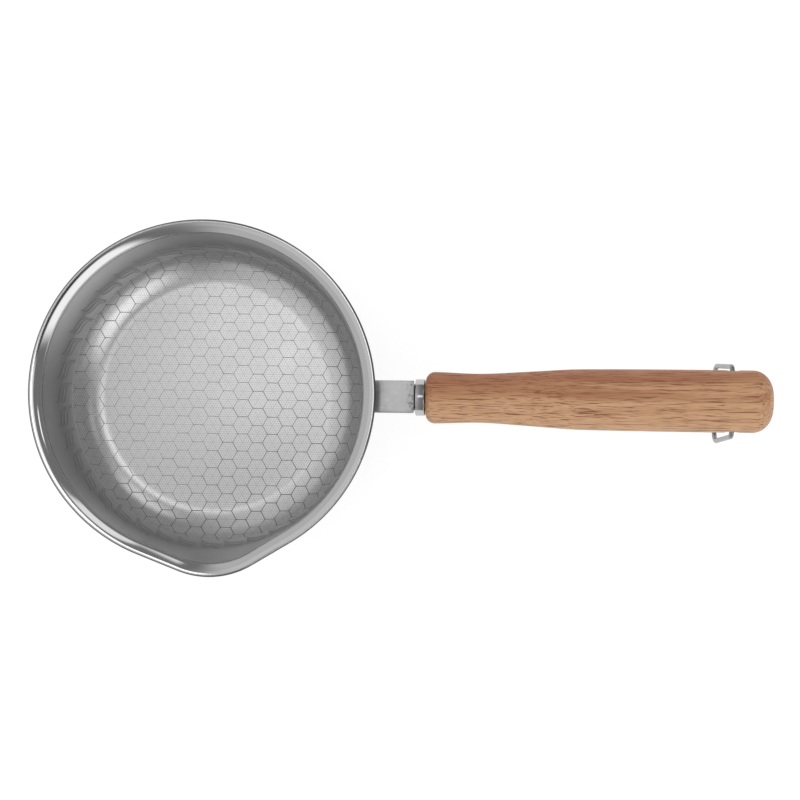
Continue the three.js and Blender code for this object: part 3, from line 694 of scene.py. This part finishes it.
class PAN_OT_body(Operator):
    """Press the steel body with its flared rim and pouring lip"""
    bl_idname = "pan.body"
    bl_label = "Pressed body"

    def execute(self, context):
        size, _, colours = chosen(context)
        shape = body_shape(size)
        rise, crease_shade = pi / 2 - size.wall_draft, size.lip_start - size.wall_draft
        flare = size.lip_turn - size.lip_start
        corner = (shape.floor_radius, size.floor_level + size.corner_radius)
        lip = shape.lip
        under = size.lip_radius - size.sheet
        outer_corner = size.corner_radius + size.sheet
        pen = Section(0, size.floor_level)
        pen.line(shape.floor_radius, size.floor_level, FLOOR_STEPS)
        pen.arc(corner, -rise, CORNER_STEPS)
        pen.line(shape.wall_top_r, shape.wall_top_z, WALL_STEPS)
        pen.arc(shape.bend, crease_shade, EDGE_STEPS)
        pen.arc(lip, flare, LIP_STEPS)
        into = size.lip_radius - size.lip_edge
        edge = (lip[0] - into * cos(size.lip_turn), lip[1] + into * sin(size.lip_turn))
        over = acos(1 - size.sheet / size.lip_edge)
        pen.arc(edge, over, EDGE_STEPS)
        past = size.lip_edge * sin(over) / under
        last = size.lip_turn + past
        pen.line(lip[0] - under * cos(last), lip[1] + under * sin(last))
        pen.arc(lip, -flare - past, LIP_STEPS)
        pen.arc(shape.bend, -crease_shade, EDGE_STEPS)
        foot = (corner[0] + outer_corner * sin(rise), corner[1] - outer_corner * cos(rise))
        pen.line(*foot, WALL_STEPS)
        pen.arc(corner, rise, CORNER_STEPS)
        pen.line(0, size.floor_level - size.sheet, FLOOR_STEPS)
        bm = pen.turned((0, 0, 1), BODY_STEPS)
        inner, shaded_cut_edge, outer = range(3)
        lip_under = lip[1] + under * sin(size.lip_turn)
        for face in bm.faces:
            centre = face.calc_center_median()
            outward = face.normal.xy.dot(centre.xy.normalized())
            if face.normal.z > INSIDE_LEAN * outward:
                face.material_index = inner
            else:
                face.material_index = shaded_cut_edge if centre.z > lip_under else outer
        spout = Vector((cos(size.spout_angle), sin(size.spout_angle)))
        for vert in bm.verts:
            lift = smooth(vert.co.z, size.rim_level - size.spout_depth, size.rim_level)
            if lift > 0:
                outward = vert.co.xy.normalized()
                vert.co.xy += outward * lift * spout_push(size, outward.angle(spout))
        piece(bm, "pressed_body", [
            etched_stainless_inside(size, shape, colours),
            # the cut edge's steel carries painted shade
            tumbled_steel("shaded_stainless_cut_edge", colours.cut_edge_shade, 0.6 * MM, 0.35),
            brushed_steel(
                "brushed_stainless_outside", colours.outer_steel, 0.45 * MM, (40, 40, 1), 0.24, 0.03 * MM),
        ], "pan", ["pan_body"])
        return {"FINISHED"}


class PAN_OT_base(Operator):
    """Turn the steel cap of the sandwich base and finish the disc inside it"""
    bl_idname = "pan.base"
    bl_label = "Sandwich base"

    def execute(self, context):
        size, _, colours = chosen(context)
        top = size.floor_level - size.sheet
        radius = body_shape(size).floor_radius - size.base_inset
        edge = (radius - size.cap_edge, size.cap_edge)
        pen = Section(0, 0)
        pen.line(edge[0], 0, FLOOR_STEPS)
        pen.arc(edge, -pi / 2, EDGE_STEPS)
        pen.line(radius, top)
        pen.line(radius - size.cap_sheet, top)
        pen.line(radius - size.cap_sheet, size.cap_edge)
        pen.arc(edge, pi / 2, EDGE_STEPS)
        pen.line(0, size.cap_sheet, FLOOR_STEPS)
        bm = pen.turned((0, 0, 1), TURNED_STEPS)
        cap = turned_steel("faced_cap_steel", colours.cap_steel, 0.5 * MM, 0.3)
        piece(bm, "base_cap_disc", [cap], "pan", ["base_cap"])
        dressed("base_core", tumbled_steel("plain_core_aluminium", colours.core_aluminium, 0.8 * MM, 0.4))
        return {"FINISHED"}


class PAN_OT_bracket(Operator):
    """Bend the strap that carries the handle"""
    bl_idname = "pan.bracket"
    bl_label = "Bent bracket"

    def execute(self, context):
        body, handle, colours = chosen(context)
        at = handle_frame(body, handle)
        bm, bend_x = self.strap(body, handle, at)
        self.trim(bm, bend_x, body, handle, at)
        hole = bmesh.new()
        bore = handle.bolt_radius + handle.fit_gap
        bmesh.ops.create_cone(
            hole, cap_ends=True, segments=SMALL_STEPS, radius1=bore, radius2=bore,
            depth=4 * handle.bracket_sheet, matrix=at @ Matrix.Rotation(pi / 2, 4, "Y"))
        bm = worked(bm, [
            ("SOLIDIFY", {"thickness": handle.bracket_sheet, "offset": 0, "use_even_offset": True}),
            ("BEVEL", {
                "width": 0.35 * MM, "segments": 3, "limit_method": "ANGLE", "angle_limit": radians(50)}),
        ], [hole])
        # painted shade over the bend into the tab starts here
        shaded_bend_at = at.translation.x - 4.5 * MM
        steel = tumbled_steel("tumbled_bracket_steel", colours.bracket_steel, 1.4 * MM, 0.32, shaded_bend_at)
        piece(bm, "bent_bracket", [steel], "pan", ["handle_bracket"])
        return {"FINISHED"}

    def strap(self, body, handle, at):
        """Draws the strap's middle face at full width, and tells where its bend at the wall starts."""
        half = handle.bracket_sheet / 2
        foot_z = handle.bracket_level - handle.flange_height
        tab_top = at @ Vector((-half, 0, handle.bolt_drop - half))
        weld = [outer_wall(body, z) + handle.fit_gap + half for z in (foot_z, handle.bracket_level)]
        weld_top_z = tab_top.z - (tab_top.x - weld[1]) * tan(handle.rise)
        up_turn = pi / 2 - body.wall_draft - handle.rise
        radius = handle.flange_bend / tan(up_turn / 2)
        lean = Vector((sin(body.wall_draft), cos(body.wall_draft)))
        bend_start = Vector((weld[1], weld_top_z)) - lean * handle.flange_bend
        pen = Section(weld[0], foot_z, -handle.bracket_width / 2)
        pen.line(*bend_start, FLOOR_STEPS)
        pen.arc(bend_start + radius * Vector((lean.y, -lean.x)), up_turn, BEND_STEPS)
        pen.line(*tab_top.xz, BEND_STEPS)
        tip = handle.tab_width / 2
        shoulder = at @ Vector((-half, 0, tip - handle.tab_drop))
        pen.line(*shoulder.xz, 2 * BEND_STEPS)
        for step in range(1, BEND_STEPS):
            down = tip * (1 - sin(step / BEND_STEPS * pi / 2)) - handle.tab_drop
            pen.line(*(at @ Vector((-half, 0, down))).xz)
        strip = [*pen.bm.verts, *pen.bm.edges]
        across = (0, handle.bracket_width / WIDTH_STEPS, 0)
        for _ in range(WIDTH_STEPS):
            strip = bmesh.ops.extrude_edge_only(pen.bm, edges=only(BMEdge, strip))["geom"]
            bmesh.ops.translate(pen.bm, verts=only(BMVert, strip), vec=across)
        return pen.bm, bend_start.x

    def trim(self, bm, bend_x, body, handle, at):
        """Clips the flange, narrows and rounds the tab, and lays the flange round the wall."""
        home = at.inverted()
        foot_z = handle.bracket_level - handle.flange_height
        wall = outer_wall(body, handle.bracket_level)
        full, tip = handle.bracket_width / 2, handle.tab_width / 2
        neck_low, neck_high = (handle.bolt_drop - share * handle.tab_neck for share in (1.5, 0.6))
        bend_end = wall + handle.bracket_sheet + handle.flange_bend
        tab_front = at.translation.x - handle.bracket_sheet
        for vert in bm.verts:
            local = home @ vert.co
            share = vert.co.y / full
            reach = full
            if vert.co.x < bend_x:
                reach -= handle.flange_clip * max(0, 1 - (vert.co.z - foot_z) / handle.flange_clip)
            elif local.x > -handle.tab_neck:
                reach += (tip - full) * (1 - smooth(local.z, neck_low, neck_high))
                below = tip - handle.tab_drop - local.z
                if below > 0:
                    reach = sqrt(max(tip ** 2 - below ** 2, (TIP_SHARE * tip) ** 2))
            vert.co.y = share * reach
            hollow = wall - sqrt(wall ** 2 - vert.co.y ** 2)
            vert.co.x -= hollow * (1 - smooth(vert.co.x, bend_end, tab_front))
        bmesh.ops.recalc_face_normals(bm, faces=bm.faces)


class PAN_OT_fastening(Operator):
    """Make the bolt, the split washer and the collar, and finish the insert"""
    bl_idname = "pan.fastening"
    bl_label = "Handle fastening"

    def execute(self, context):
        body, handle, colours = chosen(context)
        at = handle_frame(body, handle)
        zinc = tumbled_steel("zinc_plated_steel", colours.zinc, 0.6 * MM, 0.28)
        gap = handle.fit_gap
        washer_face = -handle.bracket_sheet - gap
        seat = washer_face - handle.washer_thickness - gap
        self.bolt(handle, at, seat, zinc)
        self.washer(handle, at, washer_face, zinc)
        self.collar(handle, at, colours)
        dressed("threaded_insert", tumbled_steel("turned_insert_brass", colours.brass, 0.7 * MM, 0.3))
        return {"FINISHED"}

    def bolt(self, handle, at, seat, zinc):
        """Draws the bolt from its tip to its head; the head's corners are chamfered."""
        tip, head_end = seat + handle.bolt_length, seat - handle.bolt_head
        chamfer = 0.5 * MM
        bm = bmesh.new()
        ring = bmesh.ops.create_circle(
            bm, cap_ends=True, segments=SMALL_STEPS, radius=handle.bolt_radius - chamfer,
            matrix=Matrix.Translation((tip, 0, 0)) @ Matrix.Rotation(pi / 2, 4, "Y"))["verts"]
        flats, corner = handle.bolt_flats / 2, handle.bolt_flats / 2 / cos(pi / HEXAGON)
        seat_face, end_face = 0.97 * flats, 0.95 * flats

        def hexagon(angle):
            return flats / cos((angle % (2 * pi / HEXAGON)) - pi / HEXAGON)

        stations = [
            (tip - chamfer, lambda angle: handle.bolt_radius),
            (seat, lambda angle: handle.bolt_radius),
            (seat, lambda angle: seat_face),
            (seat - 0.15 * MM, lambda angle: seat_face),
            (seat - 0.2 * MM, hexagon),
            (head_end, hexagon),
            (head_end, lambda angle: end_face),
        ]
        edges = list({edge for vert in ring for edge in vert.link_edges})
        for x, reach in stations:
            made = bmesh.ops.extrude_edge_only(bm, edges=edges)["geom"]
            edges = [edge for edge in only(BMEdge, made) if edge.is_boundary]
            for vert in only(BMVert, made):
                angle = atan2(vert.co.y, vert.co.z)
                size = reach(angle)
                drop = 0.0
                if reach is hexagon and x == head_end:
                    drop = (size - flats) / (corner - flats) * chamfer
                vert.co = (x + drop, size * sin(angle), size * cos(angle))
        bmesh.ops.contextual_create(bm, geom=edges)
        closed_up(bm)
        placed(bm, at)
        piece(bm, "hex_bolt", [zinc], "pan", ["handle_bolt"])

    def washer(self, handle, at, face, zinc):
        """Turns a small rectangle almost right round, which leaves the slit."""
        inner = handle.bolt_radius + handle.fit_gap
        slit = handle.washer_slit / inner
        bm = bmesh.new()
        bmesh.ops.create_grid(bm, x_segments=1, y_segments=1, size=0.5)
        middle = (face - handle.washer_thickness / 2, 0, inner + handle.washer_width / 2)
        section = Matrix.Diagonal((handle.washer_thickness, 1, handle.washer_width, 1))
        placed(bm, Matrix.Translation(middle) @ section @ Matrix.Rotation(pi / 2, 4, "X"))
        placed(bm, Matrix.Rotation(slit / 2, 4, "X"))
        bmesh.ops.spin(
            bm, geom=[*bm.verts, *bm.edges, *bm.faces], cent=(0, 0, 0), axis=(1, 0, 0),
            angle=2 * pi - slit, steps=SMALL_STEPS)
        closed_up(bm)
        blunted(bm, 0.15 * MM)
        placed(bm, at)
        piece(bm, "split_washer", [zinc], "pan", ["lock_washer"])

    def collar(self, handle, at, colours):
        """Turns the collar, with an oval nose towards the bracket."""
        front, bore = handle.fit_gap, handle.bolt_radius + handle.fit_gap
        back = front + handle.collar_length
        nose, heel = handle.collar_nose_length, handle.collar_heel
        low = handle.collar_radius - handle.collar_nose_width
        pen = Section(front, bore)
        pen.line(front, low)
        pen.oval((front + nose, low), low, handle.collar_nose_width / nose, EDGE_STEPS)
        pen.line(back - heel, handle.collar_radius, 2)
        pen.arc((back - heel, handle.collar_radius - heel), pi / 2, EDGE_STEPS)
        pen.line(back, bore)
        pen.line(front, bore)
        bm = pen.turned((1, 0, 0), TURNED_STEPS)
        placed(bm, at)
        steel = turned_steel(
            "polished_collar_steel", colours.collar_steel, 0.6 * MM, 0.16, at.translation, (0, 1, 1))
        piece(bm, "turned_collar", [steel], "pan", ["handle_collar"])


class PAN_OT_handle(Operator):
    """Turn the oval wooden handle and drill it"""
    bl_idname = "pan.handle"
    bl_label = "Wooden handle"

    def half_width(self, handle, x):
        """Half width at a distance from the front, on a smooth line through the named places."""
        end = handle.wood_length - handle.end_round_length
        places = [
            (handle.front_round, handle.front_half), (handle.front_round, handle.front_half),
            (handle.waist_at, handle.waist_half), (handle.shoulder_at, handle.shoulder_half),
            (handle.swell_at, handle.swell_half), (handle.grip_at, handle.grip_half),
            (end, handle.grip_half), (end, handle.grip_half),
        ]
        i = max(k for k in range(1, len(places) - 2) if places[k][0] <= x or k == 1)
        (_, before), (x0, a), (x1, b), (_, after) = places[i - 1:i + 3]
        t = min(max((x - x0) / (x1 - x0), 0), 1)
        slope_in, slope_out = (b - before) / 2, (after - a) / 2
        return ((2 * t ** 3 - 3 * t ** 2 + 1) * a + (t ** 3 - 2 * t ** 2 + t) * slope_in
                + (3 * t ** 2 - 2 * t ** 3) * b + (t ** 3 - t ** 2) * slope_out)

    def execute(self, context):
        body, handle, colours = chosen(context)
        at = handle_frame(body, handle)
        gap = handle.fit_gap
        front = gap + handle.collar_length + gap
        end = handle.wood_length - handle.end_round_length
        pen = Section(0, 0)
        pen.line(0, handle.front_half - handle.front_round, FLOOR_STEPS)
        pen.arc((handle.front_round, handle.front_half - handle.front_round), pi / 2, EDGE_STEPS)
        for step in range(1, GRIP_STEPS + 1):
            x = handle.front_round + (end - handle.front_round) * step / GRIP_STEPS
            pen.line(x, self.half_width(handle, x))
        low = handle.grip_half - handle.end_round_length
        stretch = handle.end_round_width / handle.end_round_length
        pen.oval((end, low), handle.grip_half, stretch, 2 * EDGE_STEPS)
        pen.line(handle.wood_length, 0, FLOOR_STEPS)
        bm = pen.turned((1, 0, 0), WOOD_STEPS)
        placed(bm, Matrix.Diagonal((1, 1, handle.wood_oval, 1)))
        wood = sanded_hardwood(handle, colours)
        bm = worked(bm, [], [self.insert_drill(handle, front), self.cross_drill(handle)])
        placed(bm, at @ Matrix.Translation((front, 0, 0)))
        piece(bm, "oval_handle", [wood], "pan", ["wooden_handle"])
        return {"FINISHED"}

    def insert_drill(self, handle, front):
        """Volume that the insert and the bolt's tip need in the wood."""
        gap = handle.fit_gap
        neck = gap + handle.insert_flange_thickness + gap
        shoulder = gap + handle.insert_length + gap
        seat = -handle.bracket_sheet - gap - handle.washer_thickness - gap
        depth = max(seat + handle.bolt_length - front, shoulder) + SPARE
        flange, sleeve = handle.insert_flange + gap, handle.insert_radius + gap
        bore = handle.bolt_radius + gap
        pen = Section(-SPARE, 0)
        for x, z in ((-SPARE, flange), (neck, flange), (neck, sleeve), (shoulder, sleeve),
                     (shoulder, bore), (depth, bore), (depth, 0)):
            pen.line(x, z)
        return pen.turned((1, 0, 0), SMALL_STEPS)

    def cross_drill(self, handle):
        """Volume of the ring's hole with its countersunk mouths."""
        mouth, reach = handle.grip_half - handle.countersink, handle.grip_half + SPARE
        hole = handle.hole_radius
        wide = hole + reach - mouth
        pen = Section(0, -reach)
        for x, z in ((wide, -reach), (hole, -mouth), (hole, mouth), (wide, reach), (0, reach)):
            pen.line(x, z)
        bm = pen.turned((0, 0, 1), SMALL_STEPS)
        middle = (handle.wood_length - handle.hole_from_end, 0, 0)
        placed(bm, Matrix.Translation(middle) @ Matrix.Rotation(pi / 2, 4, "X"))
        return bm


class PAN_OT_ring(Operator):
    """Bend the wire of the hanging ring"""
    bl_idname = "pan.ring"
    bl_label = "Hanging ring"

    def execute(self, context):
        body, handle, colours = chosen(context)
        at = handle_frame(body, handle)
        front = 2 * handle.fit_gap + handle.collar_length
        middle = at @ Vector((front + handle.wood_length - handle.hole_from_end, 0, 0))
        middle.z -= handle.hole_radius - handle.wire_radius - handle.fit_gap
        top = handle.grip_half + handle.ring_gap + handle.wire_radius
        low = top + handle.ring_flare
        corners = [Vector(p) for p in (
            (0, handle.ring_end_gap / 2, 0), (0, top, 0), (0, low, -handle.ring_drop),
            (0, -low, -handle.ring_drop), (0, -top, 0), (0, -handle.ring_end_gap / 2, 0))]
        bends = [handle.ring_top_bend, handle.ring_low_bend, handle.ring_low_bend, handle.ring_top_bend]
        bm = bmesh.new()
        bmesh.ops.create_circle(
            bm, cap_ends=True, segments=WIRE_SIDES, radius=handle.wire_radius,
            matrix=Matrix.Translation(corners[0]) @ Matrix.Rotation(-pi / 2, 4, "X"))
        face = bm.faces[:]
        place = corners[0]
        for i, bend in enumerate(bends, 1):
            before = (corners[i] - corners[i - 1]).normalized()
            after = (corners[i + 1] - corners[i]).normalized()
            angle = before.angle(after)
            entry = corners[i] - before * bend
            face = self.drawn(bm, face, entry - place)
            radius = bend / tan(angle / 2)
            inward = (after - before).normalized()
            inward = (inward - before * inward.dot(before)).normalized()
            made = bmesh.ops.spin(
                bm, geom=face, cent=entry + inward * radius, axis=before.cross(inward), angle=angle,
                steps=WIRE_BEND_STEPS)
            face = only(BMFace, made["geom_last"])
            place = corners[i] + after * bend
        self.drawn(bm, face, corners[-1] - place)
        closed_up(bm)
        blunted(bm, 0.2 * MM)
        placed(bm, Matrix.Translation(middle))
        wire = brushed_steel("drawn_steel_wire", colours.wire_steel, 0.35 * MM, (1, 8, 30), 0.26, 0.02 * MM)
        piece(bm, "wire_ring", [wire], "ring", ["hanging_ring"])
        return {"FINISHED"}

    def drawn(self, bm, face, run):
        """Draws the wire straight on from its end face."""
        made = bmesh.ops.extrude_face_region(bm, geom=face)["geom"]
        bmesh.ops.translate(bm, verts=only(BMVert, made), vec=run)
        bmesh.ops.delete(bm, geom=face, context="FACES_ONLY")
        return only(BMFace, made)


# Stage

CAMERA_AT = (94.4 * MM, -18.8 * MM, 656.6 * MM)
CAMERA_ROLL = radians(0.85)
CAMERA_LENS = 63.1
CAMERA_SHIFT = (-0.025, 0.05)
FLOOR_LEVEL = -0.4 * MM
FLOOR_HALF = 3.0
# Ceiling panels: place, width along X, depth along Y and brightness, where 1 is white
PANELS = {
    "overhead_left": ((-0.455, 0, 1.15), 0.59, 1.02, 0.12),
    "overhead_back": ((-0.07, 0.115, 1.15), 0.2, 0.23, 1.6),
}
# How bright metal shows the room on the right and on the left, and how bright all else is lit
ROOM_RIGHT, ROOM_LEFT, ROOM_LIGHT = 0.22, 0.62, 0.9
FLOOR_GLOW = 0.76
FLOOR_SEEN = "A0A0A0"
# Windows that only metal shows: bearing, half width, height and half height in degrees, then
# brightness; the last one is a dark flag
WINDOWS = (
    (-49, 27, 52.5, 19.5, 1.35),
    (-48, 32, 14, 10, 1.2),
    (66, 14, 52, 14, 1.1),
    (18, 7, 52, 3, 1.5),
    (40, 50, 81, 6, 1.1),
    (-45, 35, 79.5, 4, 0.04),
)


class PAN_OT_stage(Operator):
    """Set the floor, the light and the camera"""
    bl_idname = "pan.stage"
    bl_label = "Studio"

    def execute(self, context):
        scene = context.scene
        scene.view_settings.view_transform = "Standard"
        self.floor(scene)
        self.world(scene)
        for name, panel in PANELS.items():
            self.panel(scene, name, *panel)
        camera = bpy.data.cameras.new("photo_camera")
        camera.lens = CAMERA_LENS
        camera.shift_x, camera.shift_y = CAMERA_SHIFT
        camera.clip_start = 0.01
        seen = bpy.data.objects.new("photo_camera", camera)
        seen.location = CAMERA_AT
        seen.rotation_euler = (0, 0, CAMERA_ROLL)
        scene.collection.objects.link(seen)
        scene.camera = seen
        return {"FINISHED"}

    def seen_rays(self, tree):
        """1 for the rays that show the background: from the camera, off metal and through glass."""
        path = add(tree, "LightPath").node.outputs
        shown = add(tree, "Math MAXIMUM", path["Is Camera Ray"], path["Is Glossy Ray"])
        return add(tree, "Math MAXIMUM", shown, path["Is Transmission Ray"])

    def floor(self, scene):
        """Pale floor that looks white, keeps the shadow, and can be looked through from below."""
        bm = bmesh.new()
        bmesh.ops.create_grid(
            bm, x_segments=1, y_segments=1, size=FLOOR_HALF, matrix=Matrix.Translation((0, 0, FLOOR_LEVEL)))
        mesh = bpy.data.meshes.new("studio_floor")
        bm.to_mesh(mesh)
        bm.free()
        made = bpy.data.objects.new("studio_floor", mesh)
        scene.collection.objects.link(made)
        material = bpy.data.materials.new("pale_floor")
        material.use_nodes = True
        tree = material.node_tree
        tree.nodes.clear()
        seen = self.seen_rays(tree)
        shade = add(tree, "Mix", seen, scene.pan_colours.floor, srgb(FLOOR_SEEN), **BLENDED)
        paint = add(tree, "BsdfDiffuse", Color=shade)
        strength = add(tree, "Math MULTIPLY", seen, FLOOR_GLOW)
        glow = add(tree, "Emission", Strength=strength)
        top = add(tree, "AddShader", paint, glow)
        under = add(tree, "NewGeometry").node.outputs["Backfacing"]
        clear = add(tree, "BsdfTransparent")
        both = add(tree, "MixShader", under, top, clear)
        add(tree, "OutputMaterial", Surface=both)
        mesh.materials.append(material)

    def world(self, scene):
        """White backdrop for the eye; for metal, a grey studio with bright windows above it."""
        world = bpy.data.worlds.new("studio")
        scene.world = world
        world.use_nodes = True
        tree = world.node_tree
        tree.nodes.clear()
        path = add(tree, "LightPath").node.outputs
        way = add(tree, "TexCoord").node.outputs["Generated"]
        xyz = add(tree, "SeparateXYZ", way).node.outputs
        left = add(tree, "MapRange", xyz["X"], 0.0, -0.3, **SOFT)
        grey = add(tree, "Mix", left, ROOM_RIGHT, ROOM_LEFT)
        bearing = add(tree, "Math ARCTAN2", xyz["Y"], xyz["X"])
        height = add(tree, "Math ARCSINE", xyz["Z"])
        for turn_to, half_width, up, half_height, brightness in WINDOWS:
            shown = []
            for angle, middle, half in ((bearing, turn_to, half_width), (height, up, half_height)):
                shown.append(near(tree, angle, radians(middle), radians(half * 1.25), radians(half * 0.8)))
            bright = add(tree, "Math MULTIPLY", shown[0], shown[1])
            grey = add(tree, "Mix", bright, grey, brightness)
        low = add(tree, "MapRange", xyz["Z"], 0.06, 0.0)
        grey = add(tree, "Mix", low, grey, 1.0)
        lit = add(tree, "Mix", path["Is Glossy Ray"], ROOM_LIGHT, grey)
        lit = add(tree, "Mix", path["Is Camera Ray"], lit, 1.0)
        back = add(tree, "Background", Color=WHITE, Strength=lit)
        add(tree, "OutputWorld", Surface=back)

    def panel(self, scene, name, place, width, depth, brightness):
        """Hangs a lamp that faces down and that the camera doesn't see."""
        lamp = bpy.data.lights.new(name, "AREA")
        lamp.shape = "RECTANGLE"
        lamp.size, lamp.size_y = width, depth
        lamp.energy = brightness * pi * width * depth
        made = bpy.data.objects.new(name, lamp)
        made.location = place
        made.visible_camera = False
        scene.collection.objects.link(made)


class PAN_PT_pieces(Panel):
    """Lists the operators that make the pan"""
    bl_label = "Small steel pan"
    bl_space_type = "VIEW_3D"
    bl_region_type = "UI"
    bl_category = "Pan"

    def draw(self, context):
        for step in STEPS:
            self.layout.operator(step.bl_idname)


STEPS = (
    PAN_OT_stage, PAN_OT_body, PAN_OT_base, PAN_OT_bracket, PAN_OT_fastening, PAN_OT_handle, PAN_OT_ring)
GROUPS = {"pan_body": PanBodySizes, "pan_handle": PanHandleSizes, "pan_colours": PanColours}
CLASSES = (*GROUPS.values(), *STEPS, PAN_PT_pieces)


def register():
    for kind in CLASSES:
        bpy.utils.register_class(kind)
    for name, group in GROUPS.items():
        setattr(bpy.types.Scene, name, PointerProperty(type=group))


def unregister():
    for name in GROUPS:
        delattr(bpy.types.Scene, name)
    for kind in reversed(CLASSES):
        bpy.utils.unregister_class(kind)


def main():
    register()
    bpy.ops.pan.stage()
    bpy.ops.pan.body()
    bpy.ops.pan.base()
    bpy.ops.pan.bracket()
    bpy.ops.pan.fastening()
    bpy.ops.pan.handle()
    bpy.ops.pan.ring()


if __name__ == "__main__":
    main()
